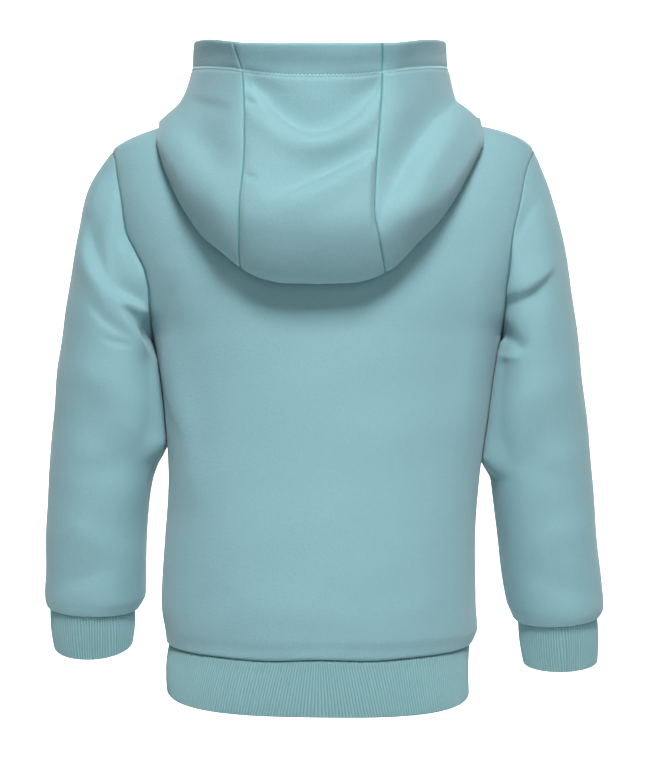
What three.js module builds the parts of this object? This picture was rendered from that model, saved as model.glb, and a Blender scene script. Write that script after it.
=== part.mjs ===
import * as THREE from 'three';

// Toddler hoodie, worn shape with no wearer, hood laid back, in millimetres
// Back faces -Y, wearer's front is +Y, wearer's right is +X, up is +Z
// Origin: middle of the neck base at the high point of the shoulders

// Cloth and seams
const fleece = 1.8;
const hemThickness = 3.8;
const ribCloth = 2.3;
const ribRise = 0.5;
const seamGap = 0.3;
const halfGap = seamGap / 2;
const fleeceFinish = { color: 0x98c6ce, roughness: 0.95, metalness: 0 };
const ribFinish = { color: 0x8fbec6, roughness: 0.9, metalness: 0 };

// Torso: half widths to the wearer's left and right, depths to back and front, by height
const slicePower = 2.2;
const torso = makeTable(['height', 'left', 'right', 'back', 'front'], [
  [-388, 107.6, 106.8, 81, 83],
  [-383, 108.4, 108, 83, 85],
  [-374, 111.2, 113.2, 86.5, 89],
  [-354, 113.8, 112, 88.5, 91],
  [-311, 111.6, 111.6, 87.5, 91],
  [-268, 108.9, 114.5, 84.5, 90],
  [-222, 111.5, 121, 84, 87],
  [-195, 114.5, 124.5, 85, 85],
  [-165, 119.5, 130, 86.5, 84],
  [-140, 131, 141, 88, 84],
  [-98, 146, 156, 87, 83],
  [-60, 152, 158, 78, 76],
  [-45, 152, 157.5, 71, 71],
  [-31, 149, 154, 62, 64],
  [-26, 142.5, 149.5, 59.5, 61],
  [-17, 122.5, 129, 55, 55],
  [-8, 90, 92, 50, 50],
  [0, 62, 62, 46, 46],
]);

// Armhole: distance of the seam from the middle plane, by height
const underarm = -165;
const shoulderTip = -31;
const armhole = makeTable(['height', 'left', 'right'], [
  [-165, 119.5, 130],
  [-140, 119.5, 131],
  [-122, 122, 132.5],
  [-107, 129, 133.7],
  [-92, 136.4, 136],
  [-70, 140, 141.4],
  [-52, 143.6, 145],
  [-39, 146, 149.6],
  [-31, 149, 154],
]);

// Neckline, band seam and hem
const neckHalfWidth = 62;
const neckDrop = { back: 12, front: 48 };
const topEase = { from: 0.1, to: 0.95 };
const hemPower = 2.7;
const bandSeam = { height: -383.5, lean: 0.06 };
const hemLine = { height: -416.2, lean: 0.124, tilt: -0.012 };
const bandWidth = makeTable(['down', 'left', 'right', 'back', 'front'], [
  [0, 108.2, 107.7, 82.6, 84.6],
  [0.5, 109.6, 105.8, 84, 85.6],
  [1, 109.6, 106.9, 84.6, 85.8],
]);

// Sleeves: under and outer edge of each ring, half depth, middle depth and lean of the ring in degrees
const sleeveColumns = ['ring', 'inX', 'inZ', 'outX', 'outZ', 'depth', 'middle', 'lean'];
const sleeves = {
  left: makeTable(sleeveColumns, [
    [0, 119.5, -165, 149, -31, 50, 0, 0],
    [1, 118.6, -179, 166, -58, 51, 0, 0],
    [2, 116.8, -193, 174, -92, 49, 0, 0],
    [3, 114.6, -213, 181, -134, 47, 0, 0],
    [4, 113.6, -241, 188.5, -184, 44, 2, 2],
    [5, 120.5, -268, 194, -238, 41, 7, 4],
    [6, 126, -308, 198.5, -301, 38, 15, 6],
    [7, 127.2, -351, 200.9, -349, 36, 23.5, 8],
    [8, 135.4, -363, 197.4, -361, 30, 26, 8],
  ]),
  right: makeTable(sleeveColumns, [
    [0, 130, -165, 154, -31, 50, 0, 0],
    [1, 129, -179, 166, -62, 51, 0, 0],
    [2, 126.8, -193, 175.5, -98, 49, 0, 0],
    [3, 124, -213, 182, -140, 47, 0, 0],
    [4, 120.6, -243, 188, -186, 44, 2, 2],
    [5, 123, -270, 194.5, -241, 41, 7, 4],
    [6, 128.5, -312, 201, -307, 38, 15, 6],
    [7, 136.6, -360, 207.3, -358, 36, 23.5, 8],
    [8, 144.6, -371, 202.5, -367, 30, 26, 8],
  ]),
};
const lastRing = 8;
const armholePull = { rings: 3, power: 1.5 };
const cuffs = {
  left: { inX: 137.4, inZ: -388.6, outX: 195, outZ: -390.4, depth: 24.5, middle: 29, lean: 22 },
  right: { inX: 148.8, inZ: -403.2, outX: 203.2, outZ: -401.4, depth: 24.5, middle: 29, lean: 12 },
};

// Hood laid back: radius and height around the neck of its bottom fold, bulge, middle, stitch line and rim,
// by turn in degrees from the middle of the back to the middle of the front
const hoodProfile = makeTable([
  'turn', 'foldR', 'foldLeftZ', 'foldRightZ', 'bulgeR', 'bulgeZ',
  'midR', 'midZ', 'stitchR', 'stitchZ', 'rimR', 'rimZ',
], [
  [0, 106, -131.6, -131.6, 138, -94, 128, -44, 112, 7.4, 116, 29],
  [12, 107, -131.1, -130.8, 137.6, -92.5, 127.7, -43.3, 112, 8.4, 116, 29.4],
  [20, 109, -128.2, -127.2, 136.8, -89, 127, -42, 111.8, 10.4, 115.8, 30.3],
  [27, 111, -122.5, -120.5, 135.5, -85, 126, -40, 111.5, 12.5, 115.5, 31.5],
  [31, 113, -116.8, -112.8, 134.4, -81.5, 124.8, -37.7, 109.8, 14, 113.5, 33],
  [35, 115, -110, -104, 133, -77, 123, -35, 107, 15.5, 110, 34.5],
  [45, 116, -96, -87, 131.5, -60, 119, -26, 102.5, 18.5, 104, 38],
  [53, 120, -74, -66.5, 129, -44, 115.5, -17, 99.5, 20.5, 100, 40],
  [60, 122.6, -52.3, -47, 127, -31, 111.5, -9, 97.3, 22, 97, 41.6],
  [67, 123.3, -31.5, -31, 121, -21, 107.5, -2, 95.5, 23.4, 94.5, 43],
  [74, 118, -17.5, -15.5, 113.5, -10.4, 103, 2, 94, 24.5, 92.3, 44.2],
  [90, 113.5, -10.6, -10.2, 108.5, -5.2, 98.5, 4.5, 91.5, 26, 89.5, 45.5],
  [120, 108, -22, -22, 103, -9, 93, 2, 87, 20, 86, 40],
  [150, 90, -42, -42, 89, -32, 85, -22, 83, -8, 84, 10],
  [180, 77, -47, -47, 78, -45, 79.5, -42.5, 82, -38, 86, -26],
]);

// Hood at the neck: steps out and up from the seam over the roll, then shares of the way down to the fold
const neckRoll = [[0, seamGap], [0.5, 5], [3, 7.6], [6, 4.6]];
const innerLayer = [0.3, 0.6, 0.88];
const innerLean = 0.6;
const outerKnots = ['fold', 'bulge', 'mid', 'stitch', 'rim'];

// Hood's clearance over the torso, and the turns over which its front edge straightens
const hoodLift = 2.2;
const foldLift = 1;
const layerGap = 2;
const frontTurn = 180;
const frontEdge = { from: 118, to: 172 };
const gussetNeckTurn = 36;

// Seam gap of the hood as a turn at its usual radius, wider at the smaller neck
const hoodSeamRadius = 95;
const neckSeamWidening = 1.7;

// Turn of the gusset's seams, in degrees, by place along the profile from neck (0) to rim (1)
const gussetSeams = makeTable(['along', 'left', 'right'], [
  [0, -36, 36],
  [0.64, -28.6, 24],
  [0.73, -23.5, 16.4],
  [0.82, -23.7, 18.3],
  [0.91, -28.6, 22.6],
  [1, -30, 21.2],
]);

// Largest folds, seen from behind: ends, sideways bow, rise (troughs below 0) and half width
const foldColumns = ['fromX', 'fromZ', 'toX', 'toZ', 'bow', 'rise', 'width'];
const panelFolds = nameRows(foldColumns, [
  [-116, -150, -87, -274, 3, 4.5, 13],
  [-100, -128, -124, -196, 0, -2.5, 9],
  [112, -120, 96, -250, 2, 2.5, 14],
  [-60, -352, 20, -362, 3, 1.6, 14],
]);
const sleeveFolds = {
  left: nameRows(foldColumns, [
    [-168, -91, -127, -165, 4, 3.5, 11],
    [-148, -122, -119, -143, 0, -3, 8],
    [-138, -148, -117, -173, 0, -3.5, 8],
  ]),
  right: nameRows(foldColumns, [
    [168, -94, 138, -172, -4, 3, 13],
    [131, -144, 161, -127, 0, -3.2, 8],
  ]),
};
const hoodFolds = nameRows(foldColumns, [
  [-50, 2, 42, 2, -30, -4, 8],
  [-48, -22, 40, -22, -26, 3, 9],
  [40, -36, -22, -62, 2, -4, 7],
  [95, 8, 41, -88, 4, -6, 9],
  [101, -26, 58, -98, 6, 4.5, 13],
  [-88, 4, -62, -70, -4, -3, 12],
]);

// Where folds fade out: near a panel's side, at a sleeve's ends, and on the hood by place and depth
const panelFade = { from: 10, to: 45 };
const sleeveFade = { rows: 2, sidewise: 1.6, front: 0.6 };
const hoodFade = { rise: [0.62, 0.76], fall: [0.88, 0.93], depth: [-20, 30] };
const foldFade = 0.12;

// Steps for reading directions along a seam, a rib ring and the hood
const seamStep = 0.05;
const ribStep = 0.002;
const hoodStep = { along: 0.004, turn: 0.5 };
const halvings = 30;
const nearZero = 1e-6;

// Grid sizes
const neckColumns = 5;
const shoulderColumns = 6;
const sideColumns = neckColumns + shoulderColumns;
const lowerRows = 9;
const armholeRows = 10;
const sleeveRows = 17;
const hoodColumnsPerNeckColumn = 2;
const hoodRowsPerSpan = [1, 1, 1, 2, 2, 2, 2, 4, 4, 3, 2];
const hemStart = 0.93;
const bandRibs = 312;
const cuffRibs = 90;
const ribsPerInnerColumn = 6;
const ribLevels = [0, 0.5, 1];

function nameRows(names, rows) {
  return rows.map((row) => Object.fromEntries(names.map((name, i) => [name, row[i]])));
}

// A table read by its first column, smooth through every row and never past its neighbours
function makeTable(names, rows) {
  const keys = rows.map((row) => row[0]);
  const steps = keys.slice(1).map((key, i) => key - keys[i]);
  const columns = {};
  names.slice(1).forEach((name, c) => {
    const values = rows.map((row) => row[c + 1]);
    const rates = steps.map((step, i) => (values[i + 1] - values[i]) / step);
    const slopes = values.map((value, i) => {
      if (i === 0) return rates[0];
      if (i === values.length - 1) return rates[i - 1];
      if (rates[i - 1] * rates[i] <= 0) return 0;
      return (2 * rates[i - 1] * rates[i]) / (rates[i - 1] + rates[i]);
    });
    columns[name] = { values, slopes };
  });
  return function read(name, at) {
    const key = Math.min(Math.max(at, keys[0]), keys[keys.length - 1]);
    let i = 0;
    while (i < steps.length - 1 && key > keys[i + 1]) i += 1;
    const t = (key - keys[i]) / steps[i];
    const { values, slopes } = columns[name];
    const rise = t * t * (3 - 2 * t);
    const leave = t * (1 - t) * (1 - t) * steps[i];
    const arrive = t * t * (t - 1) * steps[i];
    return values[i] * (1 - rise) + values[i + 1] * rise + slopes[i] * leave + slopes[i + 1] * arrive;
  };
}

function lerp(a, b, t) {
  return a + (b - a) * t;
}

function smooth(from, to, value) {
  const t = Math.min(Math.max((value - from) / (to - from), 0), 1);
  return t * t * (3 - 2 * t);
}

function sideName(x) {
  return x < 0 ? 'left' : 'right';
}

// Soft ridge or trough along a slightly bowed line, fading at both ends
function foldHeight(folds, x, z) {
  let height = 0;
  for (const fold of folds) {
    const dx = fold.toX - fold.fromX;
    const dz = fold.toZ - fold.fromZ;
    const length = Math.hypot(dx, dz);
    const along = ((x - fold.fromX) * dx + (z - fold.fromZ) * dz) / (length * length);
    const reach = Math.min(Math.max(along, 0), 1);
    const across = ((z - fold.fromZ) * dx - (x - fold.fromX) * dz) / length;
    const off = across - fold.bow * 4 * reach * (1 - reach);
    const past = (along - reach) * length;
    const fade = Math.sin(Math.PI * Math.min(Math.max(lerp(foldFade, 1 - foldFade, along), 0), 1));
    height += fold.rise * fade * Math.exp(-(off * off + past * past) / (fold.width * fold.width));
  }
  return height;
}

function torsoDepth(x, z, facing) {
  const ratio = Math.min(Math.abs(x) / torso(sideName(x), z), 1);
  const depth = torso(facing < 0 ? 'back' : 'front', z);
  return facing * depth * (1 - ratio ** slicePower) ** (1 / slicePower);
}

// Distance from the neck's axis to the torso at a turn and height
function torsoRadius(turn, z) {
  const sine = Math.abs(Math.sin(turn));
  const cosine = Math.cos(turn);
  const half = torso(turn < 0 ? 'left' : 'right', z);
  const depth = torso(cosine > 0 ? 'back' : 'front', z);
  return ((sine / half) ** slicePower + (Math.abs(cosine) / depth) ** slicePower) ** (-1 / slicePower);
}

// Height of the shoulder line at a distance from the middle plane, found by halving
function shoulderHeight(x) {
  let low = shoulderTip;
  let high = 0;
  for (let i = 0; i < halvings; i += 1) {
    const middle = (low + high) / 2;
    if (torso(sideName(x), middle) > Math.abs(x)) low = middle;
    else high = middle;
  }
  return (low + high) / 2;
}

// Neck seam point for a turn in degrees: 0 is the back, 90 the side and 180 the front
function neckPoint(degrees) {
  const turn = THREE.MathUtils.degToRad(degrees);
  const facing = Math.cos(turn) > 0 ? -1 : 1;
  const drop = facing < 0 ? neckDrop.back : neckDrop.front;
  const x = neckHalfWidth * Math.sin(turn);
  const z = -drop * Math.cos(turn) ** 2;
  return new THREE.Vector3(x, torsoDepth(x, z, facing), z);
}

// Neck seam as the straight stretches between the panels' own columns
function neckSeam(degrees) {
  const step = 90 / neckColumns;
  const first = Math.floor(degrees / step) * step;
  return neckPoint(first).lerp(neckPoint(first + step), (degrees - first) / step);
}

// Armhole seam, row 0 at the underarm to the last row at the shoulder, drawn in by inset
function armholePoint(side, facing, row, inset, shift) {
  const name = side < 0 ? 'left' : 'right';
  const seamAt = (angle) => {
    const z = lerp(underarm, shoulderTip, (1 - Math.cos(angle)) / 2);
    const end = Math.sin(angle) < nearZero;
    return { y: end ? 0 : torsoDepth(side * armhole(name, z), z, facing), z };
  };
  const angle = (Math.PI * row) / armholeRows;
  const here = seamAt(angle);
  const before = seamAt(Math.max(angle - seamStep, 0));
  const after = seamAt(Math.min(angle + seamStep, Math.PI));
  const run = new THREE.Vector2(after.y - before.y, after.z - before.z).normalize();
  if (row === 0) run.set(facing, 0);
  if (row === armholeRows) run.set(-facing, 0);
  const y = here.y - run.y * inset * facing;
  const z = here.z + run.x * inset * facing;
  return new THREE.Vector3(side * (armhole(name, z) + shift), y, z);
}

function bandSeamHeight(y) {
  return bandSeam.height + bandSeam.lean * y;
}

// Panel point: column runs from the wearer's left to right, row from the band seam to neck and shoulder
function panelPoint(column, row, facing) {
  const side = column < 0 ? -1 : 1;
  const place = Math.abs(column);
  if (row <= lowerRows) {
    const up = row / lowerRows;
    const edgeHeight = lerp(bandSeam.height, underarm, up);
    const x = side * torso(sideName(side), edgeHeight) * Math.sin((place / sideColumns) * (Math.PI / 2));
    const seamY = torsoDepth(x, bandSeam.height, facing);
    const z = lerp(bandSeamHeight(seamY) + halfGap, underarm, up);
    const y = place === sideColumns ? facing * halfGap : torsoDepth(x, z, facing);
    return new THREE.Vector3(x, y, z);
  }
  const level = row - lowerRows;
  if (place === sideColumns) {
    const edge = armholePoint(side, facing, level, 0, -halfGap);
    if (level === armholeRows) edge.y = facing * halfGap;
    return edge;
  }
  const rise = (1 - Math.cos((Math.PI * level) / armholeRows)) / 2;
  const edgeHeight = lerp(underarm, shoulderTip, rise);
  const edge = armhole(sideName(side), edgeHeight);
  const spread = Math.asin(Math.min(edge / torso(sideName(side), edgeHeight), 1));
  const sidewise = Math.sin((place / sideColumns) * spread) / Math.sin(spread);
  const tipX = armhole(sideName(side), shoulderTip);
  const neckTurn = (90 * place) / neckColumns;
  const inNeck = place <= neckColumns;
  const ridgeX = lerp(neckHalfWidth, tipX, (place - neckColumns) / shoulderColumns);
  const topX = inNeck ? neckHalfWidth * Math.sin(THREE.MathUtils.degToRad(neckTurn)) : ridgeX;
  const x = side * edge * lerp(sidewise, topX / tipX, smooth(topEase.from, topEase.to, rise));
  const neckTop = neckPoint(facing < 0 ? side * neckTurn : side * (180 - neckTurn));
  const topZ = inNeck ? neckTop.z : shoulderHeight(side * topX);
  if (level === armholeRows && inNeck && place < neckColumns) return neckTop;
  if (level === armholeRows) return new THREE.Vector3(side * topX, facing * halfGap, topZ);
  const z = lerp(underarm, topZ, rise);
  return new THREE.Vector3(x, torsoDepth(x, z, facing), z);
}

function gridNormal(grid, j, i, closed) {
  const rows = grid.length;
  const columns = grid[0].length;
  const above = grid[Math.min(j + 1, rows - 1)][i];
  const up = new THREE.Vector3().subVectors(above, grid[Math.max(j - 1, 0)][i]);
  const right = closed ? (i + 1) % columns : Math.min(i + 1, columns - 1);
  const left = closed ? (i + columns - 1) % columns : Math.max(i - 1, 0);
  const across = new THREE.Vector3().subVectors(grid[j][right], grid[j][left]);
  return across.cross(up).normalize();
}

// Grid moved along its normals; the amount is a function of the row, the column and the point
function moveGrid(grid, amount, closed) {
  return grid.map((line, j) => line.map((point, i) => {
    const normal = gridNormal(grid, j, i, closed);
    return point.clone().addScaledVector(normal, amount(j, i, point, normal));
  }));
}

// Triangle list of a closed body, turned so that its faces point out
function makeBody(points, faces) {
  let volume = 0;
  for (const [a, b, c] of faces) {
    volume += points[a].dot(new THREE.Vector3().crossVectors(points[b], points[c]));
  }
  const geometry = new THREE.BufferGeometry().setFromPoints(points);
  geometry.setIndex(faces.flatMap(([a, b, c]) => (volume > 0 ? [a, b, c] : [a, c, b])));
  geometry.computeVertexNormals();
  return geometry;
}

function pushQuad(faces, points, a, b, c, d) {
  if (points[a].distanceTo(points[c]) <= points[b].distanceTo(points[d])) faces.push([a, b, c], [a, c, d]);
  else faces.push([a, b, d], [b, c, d]);
}

// Cloth wall between an outer and an inner grid of the same size, closed along its edges
function makeWall(outer, inner, closed) {
  const rows = outer.length;
  const columns = outer[0].length;
  const points = [...outer.flat(), ...inner.flat()];
  const faces = [];
  const out = (j, i) => j * columns + (i % columns);
  const back = (j, i) => rows * columns + out(j, i);
  const last = closed ? columns : columns - 1;
  for (let j = 0; j < rows - 1; j += 1) {
    for (let i = 0; i < last; i += 1) {
      pushQuad(faces, points, out(j, i), out(j, i + 1), out(j + 1, i + 1), out(j + 1, i));
      pushQuad(faces, points, back(j, i), back(j + 1, i), back(j + 1, i + 1), back(j, i + 1));
    }
  }
  for (let i = 0; i < last; i += 1) {
    pushQuad(faces, points, out(0, i), back(0, i), back(0, i + 1), out(0, i + 1));
    pushQuad(faces, points, out(rows - 1, i), out(rows - 1, i + 1), back(rows - 1, i + 1), back(rows - 1, i));
  }
  if (!closed) {
    for (let j = 0; j < rows - 1; j += 1) {
      pushQuad(faces, points, out(j, 0), out(j + 1, 0), back(j + 1, 0), back(j, 0));
      pushQuad(faces, points, out(j, last), back(j, last), back(j + 1, last), out(j + 1, last));
    }
  }
  return makeBody(points, faces);
}

function makePanel(facing) {
  const lastRow = lowerRows + armholeRows;
  const smoothGrid = [];
  for (let row = 0; row <= lastRow; row += 1) {
    const line = [];
    for (let column = -sideColumns; column <= sideColumns; column += 1) {
      line.push(panelPoint(column, row, facing));
    }
    smoothGrid.push(line);
  }
  const atEdge = (j, i) => j === 0 || j === lastRow || i === 0 || i === 2 * sideColumns;
  const outer = moveGrid(smoothGrid, (j, i, point) => {
    const height = foldHeight(panelFolds, facing < 0 ? point.x : -point.x, point.z);
    return atEdge(j, i) ? 0 : -facing * height * smooth(panelFade.from, panelFade.to, Math.abs(point.y));
  }, false);
  const inner = moveGrid(outer, () => facing * fleece, false);
  const seated = inner.map((line, j) => line.map((point, i) => {
    const side = i === 0 ? -1 : 1;
    const column = Math.abs(i - sideColumns);
    if (j === 0) point.z = bandSeamHeight(point.y) + halfGap;
    if (column === sideColumns && j === lowerRows) {
      return new THREE.Vector3(outer[j][i].x - side * fleece, facing * halfGap, underarm + fleece);
    }
    if (column === sideColumns && j > lowerRows) {
      const rim = armholePoint(side, facing, j - lowerRows, fleece, -halfGap);
      if (j === lastRow) rim.y = facing * halfGap;
      return rim;
    }
    if (column === sideColumns) point.y = facing * halfGap;
    if (j === lastRow && column >= neckColumns) {
      point.x = outer[j][i].x;
      point.y = facing * halfGap;
    }
    return point;
  }));
  return makeWall(outer, seated, false);
}

// Ring of a sleeve or cuff: column 0 lies under the arm, half way round is the outer edge, back half first
function ringPoint(side, ring, column, columns) {
  const angle = (2 * Math.PI * column) / columns;
  const reach = (1 - Math.cos(angle)) / 2;
  const lean = THREE.MathUtils.degToRad(ring.lean);
  const depth = -ring.depth * Math.sin(angle);
  return new THREE.Vector3(
    side * lerp(ring.inX, ring.outX, reach),
    ring.middle + depth * Math.cos(lean),
    lerp(ring.inZ, ring.outZ, reach) + depth * Math.sin(lean),
  );
}

function sleeveRing(name, at) {
  const names = sleeveColumns.slice(1);
  return Object.fromEntries(names.map((column) => [column, sleeves[name](column, at)]));
}

function makeSleeve(side) {
  const name = side < 0 ? 'left' : 'right';
  const columns = 2 * armholeRows;
  const seamAt = (column, inset) => {
    const front = column > armholeRows;
    return armholePoint(side, front ? 1 : -1, front ? columns - column : column, inset, halfGap);
  };
  const rings = [];
  for (let j = 0; j <= sleeveRows; j += 1) {
    const at = lastRing * (j / sleeveRows);
    const ring = sleeveRing(name, at);
    const start = sleeveRing(name, 0);
    const hold = (1 - smooth(0, armholePull.rings, at)) ** armholePull.power;
    const line = [];
    for (let i = 0; i < columns; i += 1) {
      const point = ringPoint(side, ring, i, columns);
      const miss = seamAt(i, 0).sub(ringPoint(side, start, i, columns));
      point.addScaledVector(miss, hold);
      if (j === sleeveRows) point.z += halfGap;
      line.push(point);
    }
    rings.push(line);
  }
  const folds = sleeveFolds[name];
  const outer = moveGrid(rings, (j, i, point) => {
    const { rows, sidewise, front } = sleeveFade;
    const ends = smooth(0, rows, j) * (1 - smooth(sleeveRows - rows, sleeveRows, j));
    const facing = Math.min(1, Math.abs(Math.sin((2 * Math.PI * i) / columns)) * sidewise);
    const fade = i > armholeRows ? front : 1;
    return -side * ends * facing * fade * foldHeight(folds, point.x, point.z);
  }, true);
  const inner = moveGrid(outer, () => side * fleece, true);
  inner[0] = inner[0].map((point, i) => seamAt(i, fleece));
  inner[sleeveRows].forEach((point, i) => {
    point.z = outer[sleeveRows][i].z;
  });
  return makeWall(outer, inner, true);
}

// Rib tube: a rib has one crest and one valley on the outside, and the inside is plain with fewer columns
function makeRibTube(ringAt, ribs, levels) {
  const outerCount = 2 * ribs;
  const innerCount = ribs / ribsPerInnerColumn;
  const points = [];
  const faces = [];
  const outward = (level, turn, inset) => {
    const here = ringAt(level, turn);
    const run = ringAt(level, turn + ribStep).sub(ringAt(level, turn - ribStep)).setZ(0).normalize();
    return here.add(new THREE.Vector3(run.y, -run.x, 0).multiplyScalar(-inset));
  };
  const innerStart = levels.length * outerCount;
  for (const level of levels) {
    for (let i = 0; i < outerCount; i += 1) points.push(outward(level, i / outerCount, i % 2 ? ribRise : 0));
  }
  for (const level of levels) {
    for (let i = 0; i < innerCount; i += 1) points.push(outward(level, i / innerCount, ribCloth));
  }
  const out = (j, i) => j * outerCount + (i % outerCount);
  const back = (j, i) => innerStart + j * innerCount + (i % innerCount);
  for (let j = 0; j < levels.length - 1; j += 1) {
    for (let i = 0; i < outerCount; i += 1) {
      pushQuad(faces, points, out(j, i), out(j, i + 1), out(j + 1, i + 1), out(j + 1, i));
    }
    for (let i = 0; i < innerCount; i += 1) {
      pushQuad(faces, points, back(j, i), back(j + 1, i), back(j + 1, i + 1), back(j, i + 1));
    }
  }
  const perInner = outerCount / innerCount;
  for (let k = 0; k < innerCount; k += 1) {
    for (const [j, top] of [[0, true], [levels.length - 1, false]]) {
      const rim = [];
      for (let s = 0; s < perInner; s += 1) {
        const near = s < perInner / 2 ? back(j, k) : back(j, k + 1);
        rim.push([out(j, k * perInner + s), near, out(j, k * perInner + s + 1)]);
      }
      rim.push([out(j, k * perInner + perInner / 2), back(j, k), back(j, k + 1)]);
      faces.push(...rim.map(([a, b, c]) => (top ? [a, b, c] : [a, c, b])));
    }
  }
  return makeBody(points, faces);
}

function makeCuff(side) {
  const name = side < 0 ? 'left' : 'right';
  const seam = sleeveRing(name, lastRing);
  const end = cuffs[name];
  const ringAt = (level, turn) => {
    const ring = Object.fromEntries(Object.keys(end).map((key) => [key, lerp(seam[key], end[key], level)]));
    const point = ringPoint(side, ring, side * turn, 1);
    point.z -= halfGap;
    return point;
  };
  return makeRibTube(ringAt, cuffRibs, ribLevels);
}

function makeWaistband() {
  const ringAt = (level, turn) => {
    const angle = 2 * Math.PI * turn;
    const power = 2 / lerp(slicePower, hemPower, level);
    const cosine = Math.cos(angle);
    const sine = Math.sin(angle);
    const half = bandWidth(sine < 0 ? 'left' : 'right', level);
    const depth = bandWidth(cosine > 0 ? 'back' : 'front', level);
    const x = Math.sign(sine) * half * Math.abs(sine) ** power;
    const y = -Math.sign(cosine) * depth * Math.abs(cosine) ** power;
    const top = bandSeamHeight(y) - halfGap;
    const hem = hemLine.height + hemLine.lean * y + hemLine.tilt * x;
    return new THREE.Vector3(x, y, lerp(top, hem, level));
  };
  return makeRibTube(ringAt, bandRibs, ribLevels);
}

// Hood profile at one column: neck seam, roll over the neck, layer on the back, bottom fold,
// and outer layer up to the rim
function hoodCurve(neckTurn, turnAt) {
  const seam = neckSeam(neckTurn);
  const neckAngle = THREE.MathUtils.degToRad(neckTurn) + neckTwist(neckTurn);
  const neckR = Math.hypot(seam.x, seam.y);
  const knots = neckRoll.map(([out, up]) => ({ angle: neckAngle, r: neckR + out, z: seam.z + up }));
  const spans = hoodRowsPerSpan.length;
  const firstOuter = spans - outerKnots.length + 1;
  const outer = outerKnots.map((name, k) => {
    const degrees = turnAt((firstOuter + k) / spans);
    const turn = Math.abs(degrees);
    const side = degrees < 0 ? 'LeftZ' : 'RightZ';
    const z = hoodProfile(name === 'fold' ? `fold${side}` : `${name}Z`, turn);
    return { angle: THREE.MathUtils.degToRad(degrees), r: hoodProfile(`${name}R`, turn), z };
  });
  const start = knots[knots.length - 1];
  const fold = outer[0];
  fold.r = Math.max(fold.r, torsoRadius(fold.angle, fold.z - hoodLift) + hoodLift + foldLift);
  for (const part of innerLayer) {
    const z = lerp(start.z, fold.z + layerGap, part);
    const angle = lerp(neckAngle, fold.angle, part);
    const leaning = lerp(start.r, fold.r, innerLean * part * part);
    const r = Math.max(leaning, torsoRadius(angle, z - hoodLift) + hoodLift);
    knots.push({ angle, r, z });
  }
  knots.push(...outer);
  const end = knots[knots.length - 1];
  const straight = smooth(frontEdge.from, frontEdge.to, Math.abs(turnAt(1)));
  const cylinder = knots.map((knot, k) => {
    const t = k / (knots.length - 1);
    const r = lerp(knot.r, lerp(neckR, end.r, t), straight);
    const z = lerp(knot.z, lerp(seam.z + seamGap, end.z, t), straight);
    return new THREE.Vector3(r * Math.sin(knot.angle), -r * Math.cos(knot.angle), z);
  });
  return new THREE.CatmullRomCurve3(cylinder, false, 'centripetal');
}

// Angle between a neck seam point's own direction and its turn
function neckTwist(neckTurn) {
  const seam = neckSeam(neckTurn);
  const turn = THREE.MathUtils.degToRad(neckTurn);
  const direction = Math.atan2(seam.x, -seam.y) - turn;
  return Math.atan2(Math.sin(direction), Math.cos(direction));
}

// Outside of the hood with its folds, which rise from the neck's axis
function hoodPoint(curve, along) {
  const point = curve.getPoint(along);
  const { rise, fall, depth } = hoodFade;
  const shown = smooth(...rise, along) * (1 - smooth(...fall, along)) * smooth(...depth, -point.y);
  if (shown === 0) return point;
  const outward = new THREE.Vector3(point.x, point.y, 0).normalize();
  return point.addScaledVector(outward, shown * foldHeight(hoodFolds, point.x, point.z));
}

const hoodStations = hoodRowsPerSpan.flatMap((count, span) => (
  Array.from({ length: count }, (_, k) => (span + k / count) / hoodRowsPerSpan.length)
)).concat([1]);

// Hood piece between two seams, given as turns by the place along the profile
function makeHoodPiece({ neckFrom, neckTo, from, to }) {
  const columns = Math.round(((neckTo - neckFrom) * neckColumns) / 90) * hoodColumnsPerNeckColumn;
  const inset = THREE.MathUtils.radToDeg(halfGap / hoodSeamRadius);
  const outer = hoodStations.map(() => []);
  const inner = hoodStations.map(() => []);
  for (let i = 0; i <= columns; i += 1) {
    const q = i / columns;
    const shift = (i === 0 ? inset : 0) - (i === columns ? inset : 0);
    const neckTurn = lerp(neckFrom, neckTo, q);
    const curveAt = (step) => hoodCurve(
      neckTurn + neckSeamWidening * shift + step,
      (along) => lerp(from(along), to(along), q) + shift + step,
    );
    const [curve, before, after] = [0, -hoodStep.turn, hoodStep.turn].map(curveAt);
    const atFront = Math.abs(neckTurn) === frontTurn;
    hoodStations.forEach((along, j) => {
      const point = hoodPoint(curve, along);
      const above = hoodPoint(curve, Math.min(along + hoodStep.along, 1));
      const up = above.sub(hoodPoint(curve, Math.max(along - hoodStep.along, 0)));
      const across = hoodPoint(after, along).sub(hoodPoint(before, along));
      const normal = across.cross(up).normalize();
      if (atFront) normal.setX(0).normalize();
      const thickness = along > hemStart ? hemThickness : fleece;
      outer[j].push(point);
      inner[j].push(point.clone().addScaledVector(normal, -thickness));
    });
  }
  return makeWall(outer, inner, false);
}

const hoodPieces = {
  hood_left: {
    neckFrom: -frontTurn,
    neckTo: -gussetNeckTurn,
    from: () => -frontTurn,
    to: (along) => gussetSeams('left', along),
  },
  hood_center: {
    neckFrom: -gussetNeckTurn,
    neckTo: gussetNeckTurn,
    from: (along) => gussetSeams('left', along),
    to: (along) => gussetSeams('right', along),
  },
  hood_right: {
    neckFrom: gussetNeckTurn,
    neckTo: frontTurn,
    from: (along) => gussetSeams('right', along),
    to: () => frontTurn,
  },
};

const group = new THREE.Group();

function addPiece(name, geometry, finish) {
  const mesh = new THREE.Mesh(geometry, new THREE.MeshStandardMaterial(finish));
  mesh.name = name;
  group.add(mesh);
}

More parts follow.
